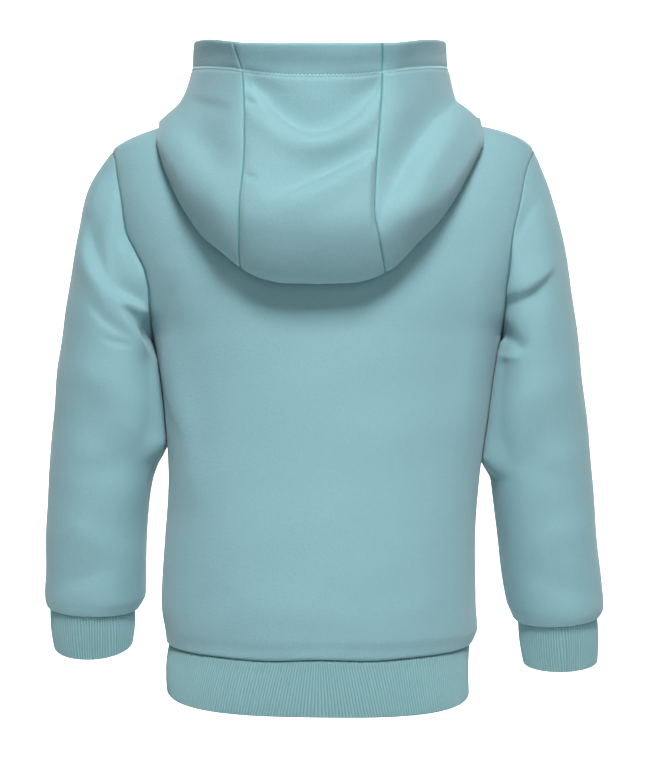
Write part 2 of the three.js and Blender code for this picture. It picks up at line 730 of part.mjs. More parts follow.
addPiece('back', makePanel(-1), fleeceFinish);
addPiece('front', makePanel(1), fleeceFinish);
addPiece('sleeve_left', makeSleeve(-1), fleeceFinish);
addPiece('sleeve_right', makeSleeve(1), fleeceFinish);
addPiece('cuff_left', makeCuff(-1), ribFinish);
addPiece('cuff_right', makeCuff(1), ribFinish);
addPiece('waistband', makeWaistband(), ribFinish);
for (const [name, piece] of Object.entries(hoodPieces)) {
  addPiece(name, makeHoodPiece(piece), fleeceFinish);
}

export default group;
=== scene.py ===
import math
import bpy
import numpy as np
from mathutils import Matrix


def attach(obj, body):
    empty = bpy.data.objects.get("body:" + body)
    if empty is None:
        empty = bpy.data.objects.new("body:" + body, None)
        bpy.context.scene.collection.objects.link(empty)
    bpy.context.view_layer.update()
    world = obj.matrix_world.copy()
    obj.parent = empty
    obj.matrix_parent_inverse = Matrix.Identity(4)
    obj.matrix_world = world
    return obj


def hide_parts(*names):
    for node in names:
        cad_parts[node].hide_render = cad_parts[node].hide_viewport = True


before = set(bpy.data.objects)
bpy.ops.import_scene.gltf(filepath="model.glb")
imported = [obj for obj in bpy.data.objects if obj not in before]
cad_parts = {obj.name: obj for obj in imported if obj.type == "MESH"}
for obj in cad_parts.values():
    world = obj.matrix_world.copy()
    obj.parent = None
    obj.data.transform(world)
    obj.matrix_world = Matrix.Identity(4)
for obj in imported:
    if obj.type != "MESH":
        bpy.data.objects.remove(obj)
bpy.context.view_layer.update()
print("stage: frame loaded")

# Toddler hoodie, worn shape with no wearer, seen from behind
# Sizes are in millimetres and in the row's frame, and meshes are written in metres
metre = 1000.0
# Half of the gap between two pieces at their seam
halfGap = 0.02
cloth = {"fleece": 1.8, "hem": 3.8, "rib": 2.3, "ribRise": 0.85}


def addObject(name, data):
    added = bpy.data.objects.new(name, data)
    bpy.context.scene.collection.objects.link(added)
    return added


# Camera at the photo's height and angle
view = {"at": (0.0072, -1.6, -0.2009), "tilt": 90, "lens": 103.36, "sensor": 36}
camera = addObject("camera", bpy.data.cameras.new("camera"))
camera.location = view["at"]
camera.rotation_euler = (math.radians(view["tilt"]), 0, 0)
camera.data.lens = view["lens"]
camera.data.sensor_width = view["sensor"]
bpy.context.scene.camera = camera


# Smooth reading of a table by its first column, through every row and never past its neighbours
class SizeTable:
    def __init__(self, names, rows):
        data = np.array(rows, float)
        self.keys = data[:, 0]
        steps = np.diff(self.keys)
        self.columns = {}
        for place, name in enumerate(names.split()[1:], 1):
            values = data[:, place]
            rates = np.diff(values) / steps
            slopes = np.concatenate([rates[:1], np.zeros(len(values) - 2), rates[-1:]])
            same = rates[:-1] * rates[1:] > 0
            total = np.where(same, rates[:-1] + rates[1:], 1.0)
            slopes[1:-1] = np.where(same, 2 * rates[:-1] * rates[1:] / total, 0.0)
            self.columns[name] = (values, slopes)

    def read(self, name, at):
        values, slopes = self.columns[name]
        key = np.clip(at, self.keys[0], self.keys[-1])
        i = np.clip(np.searchsorted(self.keys, key, side="right") - 1, 0, len(self.keys) - 2)
        step = self.keys[i + 1] - self.keys[i]
        t = (key - self.keys[i]) / step
        rise = t * t * (3 - 2 * t)
        return (
            values[i] * (1 - rise) + values[i + 1] * rise
            + slopes[i] * step * t * (1 - t) ** 2 + slopes[i + 1] * step * t * t * (t - 1)
        )


def mix(a, b, t):
    return a + (b - a) * t


def smooth(low, high, value):
    t = np.clip((value - low) / (high - low), 0, 1)
    return t * t * (3 - 2 * t)


def bell(distance, reach):
    return np.exp(-((distance / reach) ** 2))


# Grid of points with the shape (rows, columns, 3)
def stack(x, y, z):
    return np.stack(np.broadcast_arrays(x, y, z), axis=-1).astype(float)


def unit(vectors):
    return vectors / np.maximum(np.linalg.norm(vectors, axis=-1, keepdims=True), 1e-9)


def gridNormals(grid, closed=False):
    if closed:
        wide = np.concatenate([grid[:, -2:-1], grid, grid[:, 1:2]], axis=1)
        across = wide[:, 2:] - wide[:, :-2]
    else:
        across = np.gradient(grid, axis=1)
    return unit(np.cross(across, np.gradient(grid, axis=0)))


# Running length through points along an axis, from 0
def runLength(points, axis=0):
    steps = np.linalg.norm(np.diff(points, axis=axis), axis=-1)
    return np.insert(np.cumsum(steps, axis=axis), 0, 0, axis=axis)


# Distance in millimetres of every grid point from the first and last column and row
def edgeDistances(grid):
    across, along = runLength(grid, 1), runLength(grid)
    return {"left": across, "right": across[:, -1:] - across, "start": along, "end": along[-1:] - along}


# Grid places from 0 to 1 over a length, with closer ones near the ends for rolled edges
nearSeam = (0.25, 0.6, 1.1, 1.7, 2.5, 3.6)


def seamPlaces(count, length):
    ends = np.array(nearSeam) / length
    middle = np.linspace(ends[-1] * 1.5, 1 - ends[-1] * 1.5, count)
    return np.concatenate([[0], ends, middle, 1 - ends[::-1], [1]])


# Soft ridges and troughs seen from behind, each along a bowed line that fades at both ends as a half sine,
# and falls off beside the line as a bell curve with its own half width on the left and on the right
foldTip = 0.12


def foldHeight(folds, x, z):
    height = np.zeros(np.broadcast(x, z).shape)
    for fromX, fromZ, toX, toZ, bow, rise, leftWidth, rightWidth in folds:
        dx, dz = toX - fromX, toZ - fromZ
        length = math.hypot(dx, dz)
        along = ((x - fromX) * dx + (z - fromZ) * dz) / length**2
        reach = np.clip(along, 0, 1)
        off = ((z - fromZ) * dx - (x - fromX) * dz) / length - bow * 4 * reach * (1 - reach)
        width = np.where(off > 0, leftWidth, rightWidth)
        past = (along - reach) * length / max(leftWidth, rightWidth)
        fade = np.sin(np.pi * np.clip(mix(foldTip, 1 - foldTip, along), 0, 1))
        height += rise * fade * np.exp(-((off / width) ** 2) - past**2)
    return height


# Slow uneven swell of hanging cloth: a few long sine waves in random directions
swellWaves = {"count": 7, "shortest": 0.55, "longest": 1.6, "share": 3}
fullTurn = 6.28


def swell(x, z, size, seed, length=70):
    rng = np.random.default_rng(seed)
    total = np.zeros(np.broadcast(x, z).shape)
    for _ in range(swellWaves["count"]):
        angle = rng.uniform(0, math.pi)
        stretch = length * rng.uniform(swellWaves["shortest"], swellWaves["longest"])
        run = x * math.cos(angle) + z * math.sin(angle)
        total += np.sin(run * 2 * math.pi / stretch + rng.uniform(0, fullTurn))
    return size * total / swellWaves["share"]


# Small uneven waves, as where cloth is eased into a seam
def pucker(place, pitch, seed):
    rng = np.random.default_rng(seed)
    stretches = (0.71, 1.0, 1.37)
    waves = [np.sin(2 * np.pi * place / (pitch * part) + rng.uniform(0, fullTurn)) for part in stretches]
    return sum(waves) / len(waves)


# Depth of the valley that a seam pulls into the cloth, by distance from it: a narrow bell curve in a soft one
def seamDip(distance, narrow=0.9, wide=0.4, reach=0.8, softReach=4.5):
    return narrow * bell(distance, reach) + wide * bell(distance, softReach)


# Quarter round from 0 at an edge to 1 at the radius
def edgeRound(distance, radius):
    return np.sqrt(np.clip(1 - (1 - np.clip(distance / radius, 0, 1)) ** 2, 0, 1))


# The larger of two values, rounded where they are close
def softMax(a, b, width):
    return (a + b + np.sqrt((a - b) ** 2 + width**2)) / 2


# Mask of the painted shade in a seam's crease: a dark line, a bell curve by distance from the seam
creaseShadeStrength = 0.8


def creaseShadeMask(distance, reach=0.6):
    return creaseShadeStrength * bell(distance, reach)


# Closed wall from an outer and an inner grid; the cloth's own place in metres goes to its UV map,
# turned the same way round on every piece, and the mask of the painted shade in its creases to the point attribute
# that the cloth's colour reads
def addWall(node, outer, inner, materials, closed=False, grooveShade=0.0):
    rows, columns = outer.shape[:2]
    points = np.concatenate([outer.reshape(-1, 3), inner.reshape(-1, 3)]) / metre
    number = np.arange(rows * columns).reshape(rows, columns)
    if closed:
        number[:, -1] = number[:, 0]
    under = number + rows * columns
    middle = rows // 2
    runs = edgeDistances(outer)
    across = runs["left"] - runs["left"][:, columns // 2, None]
    place = np.stack([across, runs["start"] - runs["start"][middle]], -1) / metre
    low, high = slice(None, -1), slice(1, None)
    corners = ((low, low), (low, high), (high, high), (high, low))
    quads = [
        [(number[c], place[c]) for c in corners],
        [(under[c], place[c]) for c in (corners[0], corners[3], corners[2], corners[1])],
    ]
    for row in (0, -1):
        near, far = (row, low), (row, high)
        steps = [(number, near), (under, near), (under, far), (number, far)]
        if row == -1:
            steps = [steps[0], steps[3], steps[2], steps[1]]
        quads.append([(layer[c], place[c]) for layer, c in steps])
    if not closed:
        for column in (0, -1):
            near, far = (low, column), (high, column)
            steps = [(number, near), (number, far), (under, far), (under, near)]
            if column == -1:
                steps = [steps[0], steps[3], steps[2], steps[1]]
            quads.append([(layer[c], place[c]) for layer, c in steps])
    faces = np.concatenate([np.stack([n.ravel() for n, _ in quad], -1) for quad in quads])
    places = np.concatenate([np.stack([p.reshape(-1, 2) for _, p in quad], 1) for quad in quads])
    inside = np.zeros(len(faces), int)
    half = (rows - 1) * (columns - 1)
    inside[half:2 * half] = 1
    facing = np.cross(outer[middle, 2] - outer[middle, 1], outer[middle + 1, 1] - outer[middle, 1])
    if np.dot(facing, outer[middle, 1] - inner[middle, 1]) < 0:
        faces, places = faces[:, ::-1], places[:, ::-1] * (-1, 1)
    used, numbering = np.unique(faces, return_inverse=True)
    name = "".join(word.capitalize() if i else word for i, word in enumerate(node.split("_"))) + "Cloth"
    mesh = bpy.data.meshes.new(name)
    mesh.vertices.add(len(used))
    mesh.vertices.foreach_set("co", points[used].ravel())
    mesh.loops.add(faces.size)
    mesh.loops.foreach_set("vertex_index", numbering.ravel())
    mesh.polygons.add(len(faces))
    mesh.polygons.foreach_set("loop_start", np.arange(0, faces.size, 4))
    mesh.polygons.foreach_set("use_smooth", np.ones(len(faces), bool))
    mesh.polygons.foreach_set("material_index", inside)
    mesh.update(calc_edges=True)
    mesh.uv_layers.new(name="clothPlace").data.foreach_set("uv", places.ravel())
    depth = np.concatenate([np.broadcast_to(grooveShade, (rows, columns)).ravel(), np.zeros(rows * columns)])
    mesh.attributes.new("grooveShade", "FLOAT", "POINT").data.foreach_set("value", depth[used])
    for material in materials:
        mesh.materials.append(material)
    piece = addObject(name, mesh)
    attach(piece, "root")
    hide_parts(node)
    print("stage:", name, len(faces) * 2, "triangles")
    return piece


# Wall moved by a height along the smooth form's normals, with a seam's dip taken from the outside only;
# at a folded end both faces draw together into half a round, but for a last small share
foldedShare = 0.93


def thicken(grid, normals, thickness, height, dip=0.0, foldedEnd=False):
    thickness = np.broadcast_to(thickness, grid.shape[:2])
    draw = 0.0
    if foldedEnd:
        radius = thickness / 2
        left = np.clip(edgeDistances(grid)["end"] / radius, 0, 1)
        draw = radius * foldedShare * (1 - edgeRound(left, 1))
    outer = grid + normals * (height - dip - draw)[..., None]
    inner = grid + normals * (height - thickness + draw)[..., None]
    return outer, inner


# Knit surface as a height and a shade around 1. The height is the sine of the place across the wales and of the
# place down the courses, both pushed off by a slow noise, plus a noise stretched along a slant and a fine fuzz.
# The shade is 1 plus a slow mottling and a small part of the height.
knitShape = {
    "slantAlong": 0.34, "slantAcross": 1.25, "slantDetail": 0.5,
    "wanderScale": 170.0, "wander": 9.0, "courses": 2.6, "courseShare": 0.6,
    "fuzzScale": 1500.0, "mottleScale": 240.0, "shadeShare": 0.06,
}
knitInputs = ("Pitch", "Wales", "Grain", "Fuzz", "Mottle")


def makeKnitGroup():
    group = bpy.data.node_groups.new("knitSurface", "ShaderNodeTree")
    add = group.nodes.new
    link = group.links.new
    newSocket = group.interface.new_socket
    newSocket(name="Place", in_out="INPUT", socket_type="NodeSocketVector")
    for name in knitInputs:
        newSocket(name=name, in_out="INPUT", socket_type="NodeSocketFloat").default_value = 1.0
    for name in ("Height", "Shade"):
        newSocket(name=name, in_out="OUTPUT", socket_type="NodeSocketFloat")
    entry = add("NodeGroupInput")
    leave = add("NodeGroupOutput")
    split = add("ShaderNodeSeparateXYZ")
    link(entry.outputs["Place"], split.inputs[0])

    def calculate(kind, a, b=0.0):
        node = add("ShaderNodeMath")
        node.operation = kind
        for slot, value in enumerate((a, b)):
            if isinstance(value, (int, float)):
                node.inputs[slot].default_value = value
            else:
                link(value, node.inputs[slot])
        return node.outputs[0]

    def noiseAt(place, scale, detail, roughness=0.6):
        noise = add("ShaderNodeTexNoise")
        noise.inputs["Scale"].default_value = scale
        noise.inputs["Detail"].default_value = detail
        noise.inputs["Roughness"].default_value = roughness
        link(place, noise.inputs["Vector"])
        return calculate("SUBTRACT", noise.outputs[0], 0.5)

    def times(a, b):
        return calculate("MULTIPLY", a, b)

    place = entry.outputs["Place"]
    stitch = calculate("DIVIDE", metre, entry.outputs["Pitch"])
    x = times(split.outputs["X"], stitch)
    y = times(split.outputs["Y"], stitch)
    slanted = add("ShaderNodeCombineXYZ")
    link(times(calculate("ADD", x, y), knitShape["slantAlong"]), slanted.inputs[0])
    link(times(calculate("SUBTRACT", y, x), knitShape["slantAcross"]), slanted.inputs[1])
    grain = times(noiseAt(slanted.outputs[0], 1.0, knitShape["slantDetail"]), entry.outputs["Grain"])
    wander = times(noiseAt(place, knitShape["wanderScale"], 1.0), knitShape["wander"])
    across = calculate("SINE", calculate("ADD", times(x, 2 * math.pi), wander))
    down = calculate("SINE", calculate("SUBTRACT", times(y, knitShape["courses"] * math.pi), wander))
    knit = times(calculate("ADD", across, times(down, knitShape["courseShare"])), entry.outputs["Wales"])
    fuzz = times(noiseAt(place, knitShape["fuzzScale"], 3.0, 0.65), entry.outputs["Fuzz"])
    height = calculate("ADD", calculate("ADD", knit, grain), fuzz)
    link(height, leave.inputs["Height"])
    mottled = times(noiseAt(place, knitShape["mottleScale"], 4.0, 0.65), entry.outputs["Mottle"])
    change = calculate("ADD", mottled, times(height, knitShape["shadeShare"]))
    link(calculate("ADD", 1.0, change), leave.inputs["Shade"])
    return group


knitGroup = makeKnitGroup()


def makeCloth(name, look):
    material = bpy.data.materials.new(name)
    material.use_nodes = True
    tree = material.node_tree
    tree.nodes.clear()
    add = tree.nodes.new
    place = add("ShaderNodeUVMap")
    place.uv_map = "clothPlace"
    knit = add("ShaderNodeGroup")
    knit.node_tree = knitGroup
    for key in knitInputs:
        knit.inputs[key].default_value = look[key.lower()]
    tint = add("ShaderNodeVectorMath")
    tint.operation = "SCALE"
    tint.inputs[0].default_value = look["color"]
    # Painted shade: where the crease attribute is set, the colour is mixed toward a deep teal, in seams, rib
    # troughs and beside the hem stitch
    grooveShade = add("ShaderNodeAttribute")
    grooveShade.attribute_name = "grooveShade"
    # A colour mix has its factor at socket 0, its two colours at 6 and 7 and its result at 2
    shaded = add("ShaderNodeMix")
    shaded.data_type = "RGBA"
    shaded.inputs[7].default_value = look["creaseShadeColor"] + (1,)
    relief = add("ShaderNodeBump")
    relief.inputs["Strength"].default_value = look["bump"]
    relief.inputs["Distance"].default_value = 0.0004
    shader = add("ShaderNodeBsdfPrincipled")
    surface = {
        "Roughness": look["roughness"], "Specular IOR Level": 0.5,
        "Sheen Weight": look["sheen"], "Sheen Roughness": 0.5, "Sheen Tint": (0.95, 0.98, 1, 1),
    }
    for key, value in surface.items():
        shader.inputs[key].default_value = value
    output = add("ShaderNodeOutputMaterial")
    link = tree.links.new
    link(place.outputs[0], knit.inputs["Place"])
    link(knit.outputs["Shade"], tint.inputs["Scale"])
    link(grooveShade.outputs["Fac"], shaded.inputs[0])
    link(tint.outputs[0], shaded.inputs[6])
    link(knit.outputs["Height"], relief.inputs["Height"])
    link(shaded.outputs[2], shader.inputs["Base Color"])
    link(relief.outputs[0], shader.inputs["Normal"])
    link(shader.outputs[0], output.inputs[0])
    return material


# Each look's second colour is painted shade: the deep teal that its creases and rib troughs are mixed toward
looks = {
    "fleeceFace": {
        "color": (0.24, 0.435, 0.48), "creaseShadeColor": (0.03, 0.25, 0.25), "pitch": 1.1, "wales": 0.12,
        "grain": 2.4, "fuzz": 2.2, "mottle": 0.07, "bump": 0.32, "roughness": 0.9, "sheen": 0.25,
    },
    "fleeceInside": {
        "color": (0.28, 0.46, 0.51), "creaseShadeColor": (0.05, 0.27, 0.27), "pitch": 1.9, "wales": 0.3,
        "grain": 0.8, "fuzz": 4.0, "mottle": 0.16, "bump": 0.8, "roughness": 0.95, "sheen": 0.3,
    },
    "ribFace": {
        "color": (0.27, 0.45, 0.485), "creaseShadeColor": (0.06, 0.29, 0.29), "pitch": 1.0, "wales": 0.12,
        "grain": 0.6, "fuzz": 2.2, "mottle": 0.08, "bump": 0.45, "roughness": 0.9, "sheen": 0.18,
    },
    "threadFace": {
        "color": (0.50, 0.73, 0.78), "creaseShadeColor": (0.1, 0.35, 0.36), "pitch": 0.5, "wales": 0.3,
        "grain": 0.5, "fuzz": 1.2, "mottle": 0.05, "bump": 0.4, "roughness": 0.7, "sheen": 0.1,
    },
}
surfaces = {name: makeCloth(name, look) for name, look in looks.items()}
fleeceWall = (surfaces["fleeceFace"], surfaces["fleeceInside"])
ribWall = (surfaces["ribFace"], surfaces["ribFace"])
print("stage: materials made")

# Torso: half widths to the wearer's left and right, depths to back and front, by height
slicePower = 2.2
torso = SizeTable("height left right back front", [
    [-388, 107.6, 106.8, 81, 83],
    [-383, 108.4, 108, 83, 85],
    [-374, 111.2, 113.2, 86.5, 89],
    [-354, 113.8, 112, 88.5, 91],
    [-311, 111.6, 111.6, 87.5, 91],
    [-268, 108.9, 114.5, 84.5, 90],
    [-222, 111.5, 121, 84, 87],
    [-195, 114.5, 124.5, 85, 85],
    [-165, 119.5, 130, 86.5, 84],
    [-140, 131, 141, 88, 84],
    [-98, 146, 156, 87, 83],
    [-60, 152, 158, 78, 76],
    [-45, 152, 157.5, 71, 71],
    [-31, 149, 154, 62, 64],
    [-26, 142.5, 149.5, 59.5, 61],
    [-17, 122.5, 129, 55, 55],
    [-8, 90, 92, 50, 50],
    [0, 62, 62, 46, 46],
])

# Armhole: distance of the seam from the middle plane, by height
underarm = -165
shoulderTip = -31
armhole = SizeTable("height left right", [
    [-165, 119.5, 130],
    [-140, 119.5, 131],
    [-122, 122, 132.5],
    [-107, 129, 133.7],
    [-92, 136.4, 136],
    [-70, 140, 141.4],
    [-52, 143.6, 145],
    [-39, 146, 149.6],
    [-31, 149, 154],
])
neckHalfWidth = 62
neckDrop = {"back": 12, "front": 48}
bandSeam = {"height": -383.5, "lean": 0.06, "wave": 0.8, "waveLength": 84, "waveReach": 66}
ledge = {"rise": 1.5, "crest": 2, "reach": 5.0, "radius": 2.6, "sink": 1.0}
panelGrid = {"side": 11, "neck": 5, "lower": 9, "upper": 10}


def sideOf(table, side, at):
    return np.where(np.asarray(side) < 0, table.read("left", at), table.read("right", at))


def torsoDepth(x, z, facing):
    ratio = np.minimum(np.abs(x) / sideOf(torso, x, z), 1)
    depth = torso.read("back" if facing < 0 else "front", z)
    return facing * depth * np.maximum(1 - ratio**slicePower, 0) ** (1 / slicePower)


# Distance from the neck's axis to the torso at a turn and height
def torsoRadius(turn, z):
    depth = np.where(np.cos(turn) > 0, torso.read("back", z), torso.read("front", z))
    wide = (np.abs(np.sin(turn)) / sideOf(torso, turn, z)) ** slicePower
    deep = (np.abs(np.cos(turn)) / depth) ** slicePower
    return (wide + deep) ** (-1 / slicePower)


# Highest height between a low one and 0 at which the torso still reaches out as asked, found by halving
def halve(lowest, shape, steps, reaches):
    low, high = np.full(shape, float(lowest)), np.zeros(shape)
    for _ in range(steps):
        middle = (low + high) / 2
        inside = reaches(middle)
        low, high = np.where(inside, middle, low), np.where(inside, high, middle)
    return low, high


# Height of the shoulder line at a distance from the middle plane
def shoulderHeight(side, x):
    low, high = halve(shoulderTip, np.shape(x), 30, lambda z: sideOf(torso, side, z) > x)
    return (low + high) / 2


# Armhole seam by share from the underarm (0) to the shoulder (1), drawn in by an inset
def armholeSeam(side, facing, share, inset, shift):
    name = "left" if side < 0 else "right"

    def seamAt(angle):
        z = mix(underarm, shoulderTip, (1 - np.cos(angle)) / 2)
        return np.where(np.sin(angle) < 1e-6, 0, torsoDepth(side * armhole.read(name, z), z, facing)), z

    angle = np.pi * np.asarray(share, float)
    y, z = seamAt(angle)
    beforeY, beforeZ = seamAt(np.maximum(angle - 0.05, 0))
    afterY, afterZ = seamAt(np.minimum(angle + 0.05, np.pi))
    atEnd = np.sin(angle) < 1e-6
    runY = np.where(atEnd, np.where(angle < 1, facing, -facing), afterY - beforeY)
    runZ = np.where(atEnd, 0, afterZ - beforeZ)
    length = np.hypot(runY, runZ)
    y = y - runZ / length * inset * facing
    z = z + runY / length * inset * facing
    return stack(side * (armhole.read(name, z) + shift), y, z)


# Waist seam: lower at the back, with a slight wave across the back's middle
def bandSeamHeight(x, y):
    wave = np.cos(2 * np.pi * x / bandSeam["waveLength"]) * np.exp(-((x / bandSeam["waveReach"]) ** 4))
    return bandSeam["height"] + bandSeam["lean"] * y + bandSeam["wave"] * wave * smooth(0, 50, -y)


# Cloth that rolls down over a rib's seam: a soft swelling that ends in a quarter round
def ledgeHeight(height, distance):
    swollen = height + ledge["rise"] * bell(np.maximum(distance - ledge["crest"], 0), ledge["reach"])
    turned = edgeRound(distance, ledge["radius"])
    return swollen * turned - ledge["sink"] * (1 - turned)


# Panel surface: u runs from -11 at the wearer's left to 11, v from 0 at the band through 9 at the underarm
# to 19 at the neck and shoulders; each height is a slice of the torso, squeezed into the armholes above 9
def panelSurface(u, v, facing):
    side = np.where(u < 0, -1, 1)
    place = np.abs(u)
    up = np.clip(v / panelGrid["lower"], 0, 1)
    level = np.clip(v - panelGrid["lower"], 0, panelGrid["upper"])
    across = side * np.sin(place / panelGrid["side"] * np.pi / 2)
    seamX = across * sideOf(torso, side, np.full_like(across, bandSeam["height"]))
    seamY = torsoDepth(seamX, np.full_like(seamX, bandSeam["height"]), facing)
    lowZ = mix(bandSeamHeight(seamX, seamY) + halfGap, underarm, up)
    lowX = across * sideOf(torso, side, lowZ)
    rise = (1 - np.cos(np.pi * level / panelGrid["upper"])) / 2
    sleeveHeight = mix(underarm, shoulderTip, rise)
    edge = sideOf(armhole, side, sleeveHeight)
    spread = np.arcsin(np.minimum(edge / sideOf(torso, side, sleeveHeight), 1))
    sidewise = np.sin(place / panelGrid["side"] * spread) / np.sin(spread)
    tipX = sideOf(armhole, side, np.full_like(edge, shoulderTip))
    inNeck = place <= panelGrid["neck"]
    neckTurn = np.radians(90 * np.minimum(place, panelGrid["neck"]) / panelGrid["neck"])
    ridgeX = mix(neckHalfWidth, tipX, (place - panelGrid["neck"]) / (panelGrid["side"] - panelGrid["neck"]))
    topX = np.where(inNeck, neckHalfWidth * np.sin(neckTurn), ridgeX)
    topX = np.minimum(topX, tipX)
    neckZ = -neckDrop["back" if facing < 0 else "front"] * np.cos(neckTurn) ** 2
    topZ = np.where(inNeck, neckZ, shoulderHeight(side, topX))
    highX = side * edge * mix(sidewise, topX / tipX, smooth(0.1, 0.95, rise))
    highZ = mix(underarm, topZ, rise)
    low = v <= panelGrid["lower"]
    x, z = np.where(low, lowX, highX), np.where(low, lowZ, highZ)
    return stack(x, torsoDepth(x, z, facing), z)


# Panel folds as fromX fromZ toX toZ bow rise leftWidth rightWidth
panelFolds = {
    -1: [
        (-116, -150, -87, -274, 3, 4.2, 10, 15),
        (-104, -126, -122, -196, 0, -2.5, 8, 8),
        (-118, -176, -98, -236, -3, -1.6, 4, 7),
        (112, -120, 98, -250, 2, 2.4, 15, 10),
        (122, -160, 116, -262, 2, -1.6, 9, 5),
        (-60, -350, 24, -360, 3, 1.5, 13, 10),
        (34, -356, 92, -344, -2, 1.1, 12, 9),
        (-96, -366, -66, -340, 2, -1.0, 8, 10),
        (-20, -200, 46, -262, 6, 1.0, 26, 30),
    ],
    1: [
        (114, -150, 88, -266, -3, 3.6, 14, 10),
        (-110, -124, -96, -248, 2, 2.6, 10, 14),
        (102, -128, 122, -192, 0, -2.2, 8, 8),
        (64, -352, -30, -362, -3, 1.7, 10, 13),
        (-44, -70, 38, -78, -9, -1.6, 12, 9),
        (-60, -96, 52, -104, -10, 1.4, 10, 14),
    ],
}


# Each panel's facing and grid counts; lengths of the grid, and where the folds, the swell and the pucker fade
panels = {
    "back": {"facing": -1, "across": 150, "lower": 104, "upper": 88, "seed": 3},
    "front": {"facing": 1, "across": 110, "lower": 74, "upper": 64, "seed": 8},
}
# The crease entries set the painted shade along the seams: its strength at the side and neck, its reach at the
# band
panelCloth = {
    "girth": 290, "lowLength": 218, "foldFade": (8, 40), "swell": 0.45, "swellFade": 30,
    "startFade": 6, "sideFade": 10, "endFade": 8, "pucker": 0.2, "puckerPitch": 9, "puckerReach": 7,
    "sideSeam": 0.55, "sideCreaseShade": 0.4, "neckCreaseShade": 0.5, "bandCreaseShadeReach": 0.7,
}


def makePanel(name, facing, across, lower, upper, seed):
    columns = mix(-panelGrid["side"], panelGrid["side"], seamPlaces(across, panelCloth["girth"]))
    lower = seamPlaces(lower, panelCloth["lowLength"])[:-len(nearSeam) - 1] * panelGrid["lower"]
    upper = panelGrid["lower"] + panelGrid["upper"] * np.linspace(0, 1, upper)
    u, v = np.meshgrid(columns, np.concatenate([lower, upper]))
    grid = panelSurface(u, v, facing)
    high = v >= panelGrid["lower"]
    share = np.clip((v - panelGrid["lower"]) / panelGrid["upper"], 0, 1)
    atShoulder = (v == v.max()) & (np.abs(u) >= panelGrid["neck"])
    for side, column in ((-1, 0), (1, -1)):
        seam = armholeSeam(side, facing, share[:, column], 0, -halfGap)
        grid[high[:, column], column] = seam[high[:, column]]
    atSide = (np.abs(u) == panelGrid["side"]) & ~high
    grid[..., 1] = np.where(atShoulder | atSide, facing * halfGap, grid[..., 1])
    normals = -facing * gridNormals(grid)
    edges = edgeDistances(grid)
    x, y, z = np.moveaxis(grid, -1, 0)
    sideEdge = np.minimum(edges["left"], edges["right"])
    height = foldHeight(panelFolds[facing], x, z) * smooth(*panelCloth["foldFade"], np.abs(y))
    height += swell(x, z, panelCloth["swell"], seed) * smooth(0, panelCloth["swellFade"], sideEdge)
    height *= smooth(0, panelCloth["startFade"], edges["start"]) * smooth(0, panelCloth["sideFade"], sideEdge)
    height *= smooth(0, panelCloth["endFade"], edges["end"])
    puckered = panelCloth["pucker"] * pucker(x, panelCloth["puckerPitch"], seed)
    height += puckered * bell(edges["start"], panelCloth["puckerReach"])
    height = ledgeHeight(height, edges["start"])
    dip = np.maximum(seamDip(sideEdge) * np.where(high, 1, panelCloth["sideSeam"]), seamDip(edges["end"]))
    dip *= smooth(0, 4, edges["start"])
    outer, inner = thicken(grid, normals, cloth["fleece"], height, dip)
    outer[0, :, 2] = inner[0, :, 2] = grid[0, :, 2]
    for side, column in ((-1, 0), (1, -1)):
        rim = armholeSeam(side, facing, share[:, column], cloth["fleece"], -halfGap)
        inner[high[:, column], column] = rim[high[:, column]]
        inner[~high[:, column], column, 1] = facing * halfGap
        outer[:, column, 1] = np.where(high[:, column], outer[:, column, 1], facing * halfGap)
        outer[high[:, column], column, 0] = grid[high[:, column], column, 0]
    shoulder = np.abs(u[-1]) >= panelGrid["neck"]
    inner[-1, shoulder, 0] = grid[-1, shoulder, 0]
    inner[-1, shoulder, 1] = facing * halfGap
    outer[-1, shoulder, 1] = facing * halfGap
    # Painted shade along the armhole, side, band and neck seams
    seamShade = np.where(high, 1, panelCloth["sideCreaseShade"]) * creaseShadeMask(sideEdge)
    seamShade = np.maximum(seamShade, creaseShadeMask(edges["start"], panelCloth["bandCreaseShadeReach"]))
    seamShade = np.maximum(seamShade, panelCloth["neckCreaseShade"] * creaseShadeMask(edges["end"]))
    return addWall(name, outer, inner, fleeceWall, grooveShade=seamShade)


panelPieces = {name: makePanel(name, **settings) for name, settings in panels.items()}

# Sleeves: under and outer edge of each ring, half depth, middle depth and lean of the ring in degrees
sleeveColumns = "ring inX inZ outX outZ depth middle lean"
sleeves = {
    "left": SizeTable(sleeveColumns, [
        [0, 119.5, -165, 149, -31, 50, 0, 0],
        [1, 118.2, -179, 166, -58, 51, 0, 0],
        [2, 116.2, -193, 174, -92, 49, 0, 0],
        [3, 113.8, -213, 181, -134, 47, 0, 0],
        [4, 112.6, -241, 188.5, -184, 44, 2, 2],
        [5, 120.5, -268, 194, -238, 41, 7, 4],
        [6, 126, -308, 198.5, -301, 38, 15, 6],
        [7, 127.2, -351, 200.9, -349, 36, 23.5, 8],
        [8, 135.4, -363, 197.4, -361, 30, 26, 8],
    ]),
    "right": SizeTable(sleeveColumns, [
        [0, 130, -165, 154, -31, 50, 0, 0],
        [1, 128.4, -179, 166, -62, 51, 0, 0],
        [2, 126, -193, 175.5, -98, 49, 0, 0],
        [3, 123.2, -213, 182, -140, 47, 0, 0],
        [4, 119.4, -243, 188, -186, 44, 2, 2],
        [5, 123, -270, 194.5, -241, 41, 7, 4],
        [6, 128.5, -312, 201, -307, 38, 15, 6],
        [7, 136.6, -360, 207.3, -358, 36, 23.5, 8],
        [8, 144.6, -371, 202.5, -367, 30, 26, 8],
    ]),
}
cuffEnds = {
    "left": {
        "inX": 137.4, "inZ": -388.6, "outX": 195, "outZ": -390.4, "depth": 24.5, "middle": 29, "lean": 22,
    },
    "right": {
        "inX": 148.8, "inZ": -403.2, "outX": 203.2, "outZ": -401.4, "depth": 24.5, "middle": 29, "lean": 12,
    },
}
